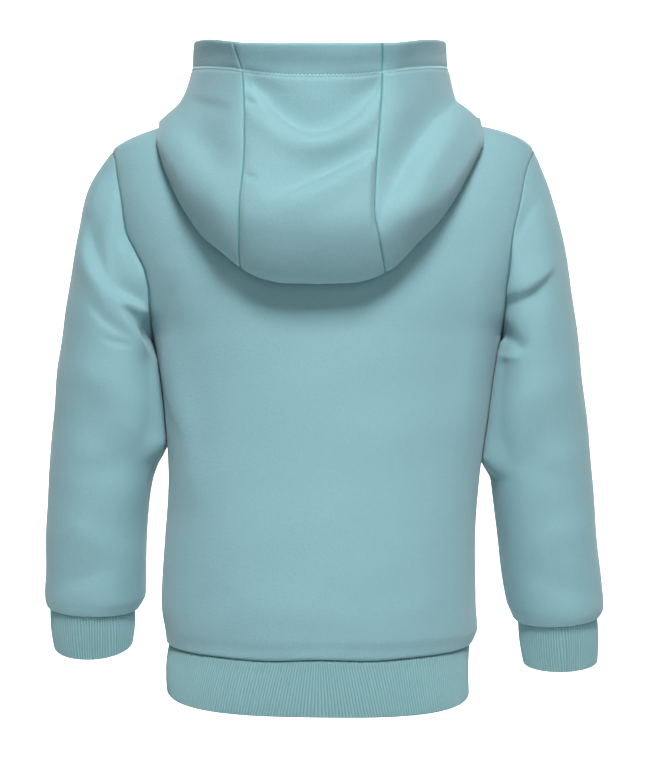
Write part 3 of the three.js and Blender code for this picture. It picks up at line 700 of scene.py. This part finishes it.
sleeveFolds = {
    "left": [
        (-163, -84, -138, -136, -6, -4.4, 13, 4.5),
        (-171, -88, -142, -143, -6, 3.0, 5, 9),
        (-142, -131, -118, -143, -1, -4.6, 8, 3),
        (-138, -139, -119, -150, 0, 2.6, 2.5, 5),
        (-134, -147, -116, -176, 2, -5.6, 9, 4),
        (-141, -147, -122, -176, 1, 2.4, 3, 7),
        (-160, -144, -132, -165, -3, -2.0, 7, 3),
        (-152, -167, -132, -171, -1, -1.4, 4, 2.5),
        (-146, -66, -139, -112, -3, 1.6, 4, 7),
        (-174, -186, -124, -226, 5, 2.4, 12, 14),
        (-182, -222, -130, -262, 6, -1.6, 14, 12),
        (-186, -298, -142, -322, 4, 1.8, 9, 13),
        (-148, -330, -196, -344, 2, -1.7, 7, 10),
        (-138, -250, -172, -262, 3, -1.4, 10, 8),
    ],
    "right": [
        (131, -143, 162, -126, -3, -3.4, 3.5, 10),
        (130, -136, 166, -112, -4, 3.2, 11, 4),
        (134, -108, 154, -70, 3, -1.8, 7, 4),
        (138, -64, 133, -108, 2, 1.6, 7, 4),
        (128, -160, 143, -175, -2, -3.4, 7, 3.5),
        (127, -178, 142, -180, -1, 1.6, 2.5, 3),
        (168, -100, 172, -170, 5, -1.6, 9, 14),
        (178, -192, 130, -226, -4, 2.4, 14, 12),
        (184, -228, 134, -264, -5, -1.6, 12, 14),
        (190, -300, 148, -320, -4, 1.8, 13, 9),
        (152, -336, 202, -352, -2, -1.7, 10, 7),
        (144, -252, 176, -266, -3, -1.4, 8, 10),
    ],
}
# Where a sleeve hangs against the body, its inner side follows the panels at a small distance
sleeveContact = {
    "clear": 0.45, "top": -162, "topFade": 7, "left": -238, "right": -250, "fade": 18, "near": 12, "far": 30,
}
sleeveCloth = {
    "across": 150, "along": 150, "length": 240, "lastRing": 8, "pulledRings": 3, "pull": 1.5,
    "frontFolds": 0.7, "swell": 0.4, "swellLength": 60, "startFade": 5, "endFade": 8,
    "pucker": 0.3, "puckerPitch": 9, "puckerReach": 9, "girth": 260,
}


# Ring of a sleeve or cuff: turn 0 lies under the arm and a half turn is the outer edge, back half first
def ringPoint(side, ring, turn):
    angle = 2 * np.pi * turn
    reach = (1 - np.cos(angle)) / 2
    lean = np.radians(ring["lean"])
    depth = -ring["depth"] * np.sin(angle)
    return stack(
        side * mix(ring["inX"], ring["outX"], reach),
        ring["middle"] + depth * np.cos(lean),
        mix(ring["inZ"], ring["outZ"], reach) + depth * np.sin(lean),
    )


def sleeveRing(name, at):
    return {key: sleeves[name].read(key, at) for key in sleeveColumns.split()[1:]}


def sleeveSeam(side, turn, inset):
    share = np.where(turn > 0.5, 2 - 2 * turn, 2 * turn)
    front, back = (armholeSeam(side, facing, share, inset, halfGap) for facing in (1, -1))
    return np.where((turn > 0.5)[..., None], front, back)


# Sleeve surface: rings by their table, pulled over the first three rings into the armhole's seam
def makeSleeve(name, side, seed):
    turns = np.linspace(0, 1, sleeveCloth["across"] + 1)
    along = seamPlaces(sleeveCloth["along"], sleeveCloth["length"])
    turn, at = np.meshgrid(turns, sleeveCloth["lastRing"] * along)
    grid = ringPoint(side, sleeveRing(name, at), turn)
    start = ringPoint(side, sleeveRing(name, np.zeros_like(turns)), turns)
    seam = sleeveSeam(side, turns, 0)
    hold = (1 - smooth(0, sleeveCloth["pulledRings"], at)) ** sleeveCloth["pull"]
    grid += hold[..., None] * (seam - start)[None]
    grid[-1, :, 2] += halfGap
    x, y, z = np.moveaxis(grid, -1, 0)
    depth = np.where(y < 0, torso.read("back", z), torso.read("front", z))
    half = sideOf(torso, side, z) * np.maximum(1 - (np.abs(y) / depth) ** slicePower, 0) ** (1 / slicePower)
    touch = smooth(sleeveContact["top"], sleeveContact["top"] - sleeveContact["topFade"], z)
    touch *= np.cos(2 * np.pi * turn) > 0
    touch *= smooth(sleeveContact[name] - sleeveContact["fade"], sleeveContact[name], z)
    touch *= smooth(sleeveContact["far"], sleeveContact["near"], np.abs(y))
    grid[..., 0] = mix(x, side * (half + sleeveContact["clear"]), touch)
    normals = -side * gridNormals(grid, True)
    edges = edgeDistances(grid)
    x, y, z = np.moveaxis(grid, -1, 0)
    turning = np.minimum(1, np.abs(np.sin(2 * np.pi * turn)) * 1.6)
    strength = turning * np.where(turn > 0.5, sleeveCloth["frontFolds"], 1)
    height = strength * foldHeight(sleeveFolds[name], x, z)
    height += swell(x + 0.7 * y, z, sleeveCloth["swell"], seed, sleeveCloth["swellLength"]) * (1 - touch)
    height *= smooth(0, sleeveCloth["startFade"], edges["start"]) * smooth(0, sleeveCloth["endFade"], edges["end"])
    puckered = sleeveCloth["pucker"] * pucker(turn * sleeveCloth["girth"], sleeveCloth["puckerPitch"], seed)
    height += puckered * bell(edges["end"], sleeveCloth["puckerReach"])
    height = ledgeHeight(height, edges["end"])
    outer, inner = thicken(grid, normals, cloth["fleece"], height, seamDip(edges["start"]))
    outer[0, :, 0] = grid[0, :, 0]
    inner[0] = sleeveSeam(side, turns, cloth["fleece"])
    outer[-1, :, 2] = grid[-1, :, 2]
    inner[-1, :, 2] = grid[-1, :, 2]
    # Painted shade along the armhole seam and the cuff seam
    seamShade = np.maximum(creaseShadeMask(edges["start"]), creaseShadeMask(edges["end"], panelCloth["bandCreaseShadeReach"]))
    return addWall("sleeve_" + name, outer, inner, fleeceWall, closed=True, grooveShade=seamShade)


sleevePieces = {"sleeve_left": makeSleeve("left", -1, 21), "sleeve_right": makeSleeve("right", 1, 34)}


# Rib tube: rounded ribs around a ring, pressed under the seam at the top and folded round at the end;
# the ribs stand at even lengths around the ring and wander a little from them
# The last entry is the strength of the painted shade in the troughs between ribs
ribCloth = {
    "columns": 6, "samples": 4001, "near": (0, 0.4, 0.9, 1.6, 2.6), "rows": 9, "foldRows": 5, "drift": 0.12,
    "driftWaves": (5, 9, 14), "trough": 1.4, "pressed": 1.8, "bulge": 0.9, "grooveShade": 0.75,
}


def makeRib(name, ringAt, ribs, seed, length):
    phase = np.arange(ribs * ribCloth["columns"] + 1) / ribCloth["columns"]
    around = np.linspace(0, 1, ribCloth["samples"])
    run = runLength(ringAt(0 * around + 0.5, around))
    near = np.array(ribCloth["near"]) / length
    foldRows = np.sin(np.linspace(0, np.pi / 2, ribCloth["foldRows"])[:-1])
    foldRows = 1 - cloth["rib"] / 2 / length * (1 - foldRows)
    between = np.linspace(near[-1] * 1.6, foldRows[0] - 0.04, ribCloth["rows"])
    levels = np.concatenate([near, between, foldRows, [1]])
    at, level = np.meshgrid(phase / ribs, levels)
    rng = np.random.default_rng(seed)
    drift = 0
    for waves in ribCloth["driftWaves"]:
        drift += np.sin(2 * np.pi * (at * waves + rng.uniform()) + level * rng.uniform(1, 3))
    drift *= ribCloth["drift"]
    grid = ringAt(level, np.interp((at + drift / ribs) % 1 * run[-1], run, around))
    normals = gridNormals(grid, True)
    centre = grid.mean(axis=(0, 1))
    normals *= np.where(np.sum(normals * (grid - centre), -1).mean() < 0, -1, 1)
    edges = edgeDistances(grid)
    trough = (1 - np.abs(np.cos(np.pi * phase)))[None, :] ** ribCloth["trough"]
    depth = trough * mix(0.55, 1, smooth(0, 5, edges["start"])) * mix(0.7, 1, smooth(0, 3, edges["end"]))
    dip = cloth["ribRise"] * depth + ledge["sink"] * (1 - edgeRound(edges["start"], ribCloth["pressed"]))
    bulge = ribCloth["bulge"] * np.sin(np.pi * np.clip(level, 0, 1))
    outer, inner = thicken(grid, normals, cloth["rib"], bulge, dip, foldedEnd=True)
    outer[0, :, 2] = inner[0, :, 2] = grid[0, :, 2]
    # Painted shade in the troughs between ribs and along the top seam
    grooveShade = np.maximum(ribCloth["grooveShade"] * depth, creaseShadeMask(edges["start"]))
    return addWall(name, outer, inner, ribWall, closed=True, grooveShade=grooveShade)


# Waistband: from the panels' seam down to the hem, a little waisted between them
hemLine = {
    "height": -416.2, "lean": 0.124, "tilt": -0.012, "power": 2.7,
    "left": 109.6, "right": 106.9, "back": 84.6, "front": 85.8,
}
bandWaist = {"left": 0.7, "right": -1.6, "back": 0.8, "front": 0.4}


def bandRing(level, turn):
    sine, cosine = np.sin(2 * np.pi * turn), np.cos(2 * np.pi * turn)
    left, back = sine < 0, cosine > 0
    width = np.where(left, hemLine["left"], hemLine["right"])
    depth = np.where(back, hemLine["back"], hemLine["front"])
    hemX = width * np.sign(sine) * np.abs(sine) ** (2 / hemLine["power"])
    hemY = -depth * np.sign(cosine) * np.abs(cosine) ** (2 / hemLine["power"])
    hem = stack(hemX, hemY, hemLine["height"] + hemLine["lean"] * hemY + hemLine["tilt"] * hemX)
    across = np.sign(sine) * np.abs(sine) ** (2 / slicePower)
    high = 0 * across + bandSeam["height"]
    flatX = across * sideOf(torso, across, high)
    flatY = np.where(back, torsoDepth(flatX, high, -1), torsoDepth(flatX, high, 1))
    topZ = bandSeamHeight(flatX, flatY) - halfGap
    topX = across * sideOf(torso, across, topZ)
    top = stack(topX, np.where(back, torsoDepth(topX, topZ, -1), torsoDepth(topX, topZ, 1)), topZ)
    waistX = np.where(left, -bandWaist["left"], bandWaist["right"]) * sine**2
    waistY = np.where(back, -bandWaist["back"], bandWaist["front"]) * cosine**2
    waist = stack(waistX, waistY, 0 * waistX) * np.sin(np.pi * level)[..., None]
    return mix(top, hem, level[..., None]) + waist


def cuffRing(name, side):
    seam = sleeveRing(name, sleeveCloth["lastRing"])

    def ringAt(level, turn):
        ring = {key: mix(seam[key], cuffEnds[name][key], level) for key in seam}
        grid = ringPoint(side, ring, side * turn)
        grid[..., 2] -= halfGap
        return grid
    return ringAt


ribPieces = {
    "waistband": makeRib("waistband", bandRing, ribs=312, seed=5, length=40),
    "cuff_left": makeRib("cuff_left", cuffRing("left", -1), ribs=90, seed=6, length=28),
    "cuff_right": makeRib("cuff_right", cuffRing("right", 1), ribs=90, seed=7, length=34),
}

# Hood laid back: radius and height around the neck of its bottom fold, bulge, middle, stitch line and rim,
# by turn in degrees from the middle of the back to the middle of the front
hoodProfile = SizeTable("turn foldR foldLeftZ foldRightZ bulgeR bulgeZ midR midZ stitchR stitchZ rimR rimZ", [
    [0, 106, -131.6, -131.6, 138, -94, 128, -44, 112, 7.4, 116, 29],
    [12, 107, -131.1, -130.8, 137.6, -92.5, 127.7, -43.3, 112, 8.4, 116, 29.4],
    [20, 109, -128.2, -127.2, 136.8, -89, 127, -42, 111.8, 10.4, 115.8, 30.3],
    [27, 111, -122.5, -120.5, 135.5, -85, 126, -40, 111.5, 12.5, 115.5, 31.5],
    [31, 113, -116.8, -112.8, 134.4, -81.5, 124.8, -37.7, 109.8, 14, 113.5, 33],
    [35, 115, -110, -104, 133, -77, 123, -35, 107, 15.5, 110, 34.5],
    [45, 116, -96, -87, 131.5, -60, 119, -26, 102.5, 18.5, 104, 38],
    [53, 120, -74, -66.5, 129, -44, 115.5, -17, 99.5, 20.5, 100, 40],
    [60, 122.6, -52.3, -47, 127, -31, 111.5, -9, 97.3, 22, 97, 41.6],
    [67, 123.3, -31.5, -31, 121, -21, 107.5, -2, 95.5, 23.4, 94.5, 43],
    [74, 118, -17.5, -15.5, 113.5, -10.4, 103, 2, 94, 24.5, 92.3, 44.2],
    [90, 113.5, -10.6, -10.2, 108.5, -5.2, 98.5, 4.5, 91.5, 26, 89.5, 45.5],
    [120, 108, -22, -22, 103, -9, 93, 2, 87, 20, 86, 40],
    [150, 90, -42, -42, 89, -32, 85, -22, 83, -8, 84, 10],
    [180, 77, -47, -47, 78, -45, 79.5, -42.5, 82, -38, 86, -26],
])
neckRoll = ((0, 0.3), (0.5, 5), (3, 7.6), (6, 4.6))
innerLayer = (0.3, 0.6, 0.88)
outerKnots = ("fold", "bulge", "mid", "stitch", "rim")
gussetSeams = SizeTable("along left right", [
    [0, -36, 36],
    [0.64, -28.6, 24],
    [0.73, -23.5, 16.4],
    [0.82, -23.7, 18.3],
    [0.91, -28.6, 22.6],
    [1, -30, 21.2],
])
hoodFolds = [
    (96, 2, 40, -91, -3.7, -8.5, 5, 17),
    (104, -12, 54, -100, -4, 4.8, 13, 9),
    (-86, 4, -62, -64, -6, -3.4, 15, 12),
    (-98, -30, -60, -98, 5, 2.4, 12, 12),
    (-92, 0, -60, -14, 0, -1.2, 3, 8),
    (-60, -70, -46, -118, 0, -2.0, 12, 9),
]
gussetFolds = [
    (-46, 5, 42, 4, -30, -10.5, 17, 6),
    (-50, -14, 42, -16, -25, 2.4, 6, 9),
    (40, -38, -28, -71, 1, -8.0, 4.5, 15),
    (40, -48, -18, -82, 1, 2.6, 9, 4),
    (-52, -7, -40, -10, 0, -2.0, 2, 4),
    (-50, -60, -42, -61, 0, -1.4, 1.6, 3.5),
]
hoodLift = 2.2
hoodEdge = {"hemStart": 0.918, "gapTurn": math.degrees(halfGap / 95), "neckShare": 1.7}


# Neck seam for a turn in degrees: 0 is the back, 90 the side and 180 the front, straight every 18 degrees
def neckSeam(degrees):
    def point(at):
        turn = np.radians(at)
        back = np.cos(turn) > 0
        x = neckHalfWidth * np.sin(turn)
        z = -np.where(back, neckDrop["back"], neckDrop["front"]) * np.cos(turn) ** 2
        return stack(x, np.where(back, torsoDepth(x, z, -1), torsoDepth(x, z, 1)), z)

    step = 18
    first = np.floor(degrees / step) * step
    return mix(point(first), point(first + step), ((degrees - first) / step)[..., None])


# Point at an angle, radius and height kept clear of the torso: pushed out on the back, lifted over the
# shoulders
def clearTorso(angle, r, z, lift):
    low, _ = halve(-60, np.shape(z), 20, lambda middle: torsoRadius(angle, middle) > r)
    turn = np.abs(np.degrees(angle))
    over = smooth(58, 72, turn) * (1 - smooth(104, 122, turn))
    pushed = softMax(r, torsoRadius(angle, z - lift) + lift, 1.0)
    lifted = softMax(z, low + lift, 1.0)
    return mix(pushed, r, over), mix(z, lifted, over)


# Hood surface: for each column a smooth curve through the neck's roll, the layer on the back, the bottom fold
# and the outer layer up to the rim; columns follow the given turns
def hoodSurface(neckTurn, turnAt, along):
    seam = neckSeam(neckTurn)
    neckTurnAngle = np.radians(neckTurn)
    direction = np.arctan2(seam[..., 0], -seam[..., 1]) - neckTurnAngle
    neckAngle = neckTurnAngle + np.arctan2(np.sin(direction), np.cos(direction))
    neckR = np.hypot(seam[..., 0], seam[..., 1])
    knots = [(neckAngle, neckR + out, seam[..., 2] + up) for out, up in neckRoll]
    spans = len(neckRoll) + len(innerLayer) + len(outerKnots) - 1
    outer = []
    for k, name in enumerate(outerKnots):
        degrees = turnAt((spans - len(outerKnots) + 1 + k) / spans)
        turn = np.abs(degrees)
        if name == "fold":
            z = np.where(degrees < 0, hoodProfile.read("foldLeftZ", turn), hoodProfile.read("foldRightZ", turn))
        else:
            z = hoodProfile.read(name + "Z", turn)
        outer.append([np.radians(degrees), hoodProfile.read(name + "R", turn), z])
    start, fold = knots[-1], outer[0]
    fold[1], fold[2] = clearTorso(fold[0], fold[1], fold[2], hoodLift + 1)
    for part in innerLayer:
        angle = mix(neckAngle, fold[0], part)
        r = mix(start[1], fold[1], 0.6 * part * part)
        knots.append((angle, *clearTorso(angle, r, mix(start[2], fold[2] + 2, part), hoodLift)))
    knots += [tuple(knot) for knot in outer]
    straight = smooth(118, 172, np.abs(turnAt(1.0)))
    points = []
    for k, (angle, r, z) in enumerate(knots):
        t = k / (len(knots) - 1)
        r = mix(r, mix(neckR, knots[-1][1], t), straight)
        z = mix(z, mix(seam[..., 2] + 0.3, knots[-1][2], t), straight)
        points.append(stack(r * np.sin(angle), -r * np.cos(angle), z))
    points = [2 * points[0] - points[1]] + points + [2 * points[-1] - points[-2]]

    def between(a, b):
        return np.sum((a - b) ** 2, axis=-1, keepdims=True) ** 0.25

    rows = []
    for at in along:
        i = min(int(at * spans), spans - 1)
        w = at * spans - i
        a, b, c, d = points[i:i + 4]
        first, middle, last = between(a, b), between(b, c), between(c, d)
        leave = ((b - a) / first - (c - a) / (first + middle) + (c - b) / middle) * middle
        arrive = ((c - b) / middle - (d - b) / (middle + last) + (d - c) / last) * middle
        square, cube = 3 * (c - b) - 2 * leave - arrive, 2 * (b - c) + leave + arrive
        rows.append(b + leave * w + square * w**2 + cube * w**3)
    return np.array(rows)


hoodPieces = {
    "hood_left": {"neck": (-180, -36), "across": 124},
    "hood_center": {"neck": (-36, 36), "across": 92},
    "hood_right": {"neck": (36, 180), "across": 124},
}


# Rows of the hood from the neck to the rim as spans of start, end and count, closest at the stitch line;
# the last ones crowd into the rim's round
def hoodAlong():
    spans = ((0, 0.27, 12), (0.27, 0.6, 26), (0.6, 0.896, 100), (0.896, 0.924, 22), (0.924, 0.992, 18))
    places = [np.linspace(a, b, n, endpoint=False) for a, b, n in spans]
    return np.concatenate(places + [mix(0.992, 1, np.sin(np.linspace(0, np.pi / 2, 7)))])


# The crease entries place a line of painted shade beside the stitches: its strength, offset and reach
hemStitch = {
    "along": 10 / 11, "sink": 0.9, "flare": 2.6, "flareReach": 22, "pitch": 2.6, "reach": 1.0, "radius": 0.28,
    "crease": 0.3, "creaseAt": 1.2, "creaseReach": 0.9, "pucker": 0.14, "puckerPitch": 6, "puckerReach": 4,
}
hoodCloth = {
    "sideGirth": 250, "gussetGirth": 110, "swell": 0.4, "swellLength": 60,
    "rimSwell": 0.35, "rimSwellLength": 50, "seamNarrow": 1.0, "seamWide": 0.35, "hemRun": 0.012,
}
stitchLines = []


def makeHoodPiece(name, neck, across):
    def turnOf(edge, along):
        if edge in (-180, 180):
            return np.float64(edge)
        return gussetSeams.read("left" if edge < 0 else "right", along)

    places = seamPlaces(across, hoodCloth["gussetGirth" if name == "hood_center" else "sideGirth"])
    q = np.concatenate([[-places[1]], places, [1 + places[1]]])
    inset = hoodEdge["gapTurn"]
    shift = np.where(q <= 0, inset, 0) - np.where(q >= 1, inset, 0)
    neckTurn = mix(neck[0], neck[1], q) + hoodEdge["neckShare"] * shift

    def turnAt(along):
        return mix(turnOf(neck[0], along), turnOf(neck[1], along), q) + shift

    along = hoodAlong()
    wide = hoodSurface(neckTurn, turnAt, along)
    normals = gridNormals(wide)[:, 1:-1]
    grid = wide[:, 1:-1]
    if name != "hood_center":
        front = 0 if neck[0] == -180 else -1
        normals[:, front, 0] = 0
        normals = unit(normals)
    x, y, z = np.moveaxis(grid, -1, 0)
    edges = edgeDistances(grid)
    k = along[:, None] + 0 * x
    shown = smooth(0.62, 0.74, k) * (1 - smooth(0.885, 0.92, k)) * smooth(-20, 30, -y)
    height = foldHeight(hoodFolds, x, z) * shown
    if name == "hood_center":
        nearest = np.minimum(edges["left"], edges["right"])
        height = height * smooth(6, 0, nearest) + foldHeight(gussetFolds, x, z) * shown * smooth(-1, 4, nearest)
    else:
        nearest = edges["right" if neck[0] == -180 else "left"]
    slow = swell(x, z, hoodCloth["swell"], 40, hoodCloth["swellLength"])
    height += slow * smooth(0.6, 0.7, k) * smooth(0, 20, nearest)
    height += swell(x, 2 * z, hoodCloth["rimSwell"], 44, hoodCloth["rimSwellLength"]) * smooth(0.9, 0.93, k)
    row = int(np.searchsorted(along, hemStitch["along"])) - 1
    share = (hemStitch["along"] - along[row]) / (along[row + 1] - along[row])
    above = edges["start"] - mix(edges["start"][row], edges["start"][row + 1], share)
    stitched = hemStitch["sink"] * bell(above, np.where(above > 0, 3.2, 1.8))
    puckered = hemStitch["pucker"] * pucker(x + y, hemStitch["puckerPitch"], 45)
    height += puckered * bell(above, hemStitch["puckerReach"])
    height += hemStitch["flare"] * smooth(0, hemStitch["flareReach"], above) * smooth(40, 105, -y)
    dip = np.maximum(seamDip(nearest, hoodCloth["seamNarrow"], hoodCloth["seamWide"]), stitched)
    dip *= smooth(0.01, 0.04, k)
    turnedIn = smooth(hoodEdge["hemStart"], hoodEdge["hemStart"] + hoodCloth["hemRun"], k)
    thickness = mix(cloth["fleece"], cloth["hem"], turnedIn)
    outer, inner = thicken(grid, normals, thickness, height, dip, foldedEnd=True)
    place = mix(outer[row], outer[row + 1], share)
    stitchLines.append((place, normals[row], unit(outer[row + 1] - outer[row])))
    # Painted shade beside the hem stitch line and along the gusset seams, faded out near the neck
    stitchCreaseShade = hemStitch["crease"] * creaseShadeMask(above - hemStitch["creaseAt"], hemStitch["creaseReach"])
    grooveShade = np.maximum(creaseShadeMask(nearest), stitchCreaseShade) * smooth(0.3, 0.5, k)
    return addWall(name, outer, inner, fleeceWall, grooveShade=grooveShade)


hoodMeshes = {name: makeHoodPiece(name, **settings) for name, settings in hoodPieces.items()}


# Zigzag thread along the hood's hem: a five-sided tube carried along the stitch line, up and down by turns
def makeHemStitch():
    sides = 5
    path, normal, up = (np.concatenate(parts) for parts in zip(*stitchLines))
    length = runLength(path)
    count = 6 * int(length[-1] / hemStitch["pitch"])
    at = np.linspace(0, length[-1], count)
    read = [[np.interp(at, length, v[:, i]) for i in range(3)] for v in (path, normal, up)]
    path, normal, up = (np.stack(v, -1) for v in read)
    # Sine cut off at the top and more so at the bottom, so that the teeth point up
    swing = np.clip(1.7 * np.sin(2 * np.pi * at / hemStitch["pitch"]), -0.35, 1)
    path = path + up * (hemStitch["reach"] * swing)[:, None]
    path = path + unit(normal) * (0.2 + 0.15 * np.abs(swing))[:, None]
    run = unit(np.gradient(path, axis=0))
    side = unit(np.cross(run, normal))
    lift = np.cross(side, run)
    angle = np.linspace(0, 2 * np.pi, sides, endpoint=False)[:, None, None]
    rings = path + hemStitch["radius"] * (np.cos(angle) * lift + np.sin(angle) * side)
    points = np.moveaxis(rings, 0, 1).reshape(-1, 3) / metre
    start = (np.arange(count - 1) * sides)[:, None]
    first, following = start + np.arange(sides), start + np.roll(np.arange(sides), -1)
    quads = np.stack([first, following, following + sides, first + sides], -1).reshape(-1, 4)
    ends = [list(range(sides))[::-1], [sides * (count - 1) + i for i in range(sides)]]
    mesh = bpy.data.meshes.new("hemStitch")
    mesh.from_pydata(points.tolist(), [], quads.tolist() + ends)
    mesh.polygons.foreach_set("use_smooth", np.ones(len(mesh.polygons), bool))
    place = np.stack([np.repeat(at, sides), np.tile(np.arange(sides) * 0.25, count)], -1) / metre
    corners = np.zeros(len(mesh.loops), int)
    mesh.loops.foreach_get("vertex_index", corners)
    mesh.uv_layers.new(name="clothPlace").data.foreach_set("uv", place[corners].ravel())
    mesh.attributes.new("grooveShade", "FLOAT", "POINT")
    mesh.materials.append(surfaces["threadFace"])
    piece = addObject("hemStitch", mesh)
    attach(piece, "root")
    print("stage: hemStitch", 2 * len(quads), "triangles")


makeHemStitch()

# Pale floor that turns up by a quarter round into a far backdrop
stage = {"floor": -0.62, "near": -3, "turn": 1.6, "top": 4.0, "half": 4, "paint": (0.93, 0.93, 0.93, 1)}
bend = np.linspace(0.1, math.pi / 2, 12)
floorRun = [(stage["near"], stage["floor"]), (stage["turn"], stage["floor"])]
floorRun += [(stage["turn"] + math.sin(t), stage["floor"] + 1 - math.cos(t)) for t in bend]
floorRun.append((stage["turn"] + 1, stage["top"]))
corners = [(x, y, z) for y, z in floorRun for x in (-stage["half"], stage["half"])]
floorMesh = bpy.data.meshes.new("floor")
strips = [(2 * i, 2 * i + 1, 2 * i + 3, 2 * i + 2) for i in range(len(floorRun) - 1)]
floorMesh.from_pydata(corners, [], strips)
for polygon in floorMesh.polygons:
    polygon.use_smooth = True
floor = addObject("floor", floorMesh)
floorPaint = bpy.data.materials.new("floorPaint")
floorPaint.use_nodes = True
paint = floorPaint.node_tree.nodes["Principled BSDF"]
paint.inputs["Base Color"].default_value = stage["paint"]
paint.inputs["Roughness"].default_value = 0.9
floorMesh.materials.append(floorPaint)

# Soft studio light
lights = {
    "key": {"at": (0.12, -1.7, 1.45), "aim": (0, 0, -0.15), "size": 0.6, "spread": 60, "watts": 6.6},
    "fill": {"at": (0.25, -3.0, 0.1), "aim": (0, 0, -0.2), "size": 1.2, "spread": 40, "watts": 1.0},
    "backdrop": {"at": (0, 1.2, 1.8), "aim": (0, 2.8, 0.2), "size": 2.0, "spread": 150, "watts": 120},
}
for name, light in lights.items():
    lamp = bpy.data.lights.new(name, "AREA")
    lamp.energy = light["watts"]
    lamp.size = light["size"]
    lamp.spread = math.radians(light["spread"])
    holder = addObject(name, lamp)
    holder.location = light["at"]
    run = np.array(light["aim"]) - np.array(light["at"])
    holder.rotation_euler = (math.acos(-run[2] / np.linalg.norm(run)), 0, math.atan2(-run[0], run[1]))
world = bpy.data.worlds.new("studio")
world.use_nodes = True
sky = world.node_tree.nodes["Background"]
sky.inputs["Color"].default_value = (0.75, 1, 1, 1)
sky.inputs["Strength"].default_value = 0.08
bpy.context.scene.world = world
bpy.context.scene.view_settings.view_transform = "Standard"

print("stage: done")
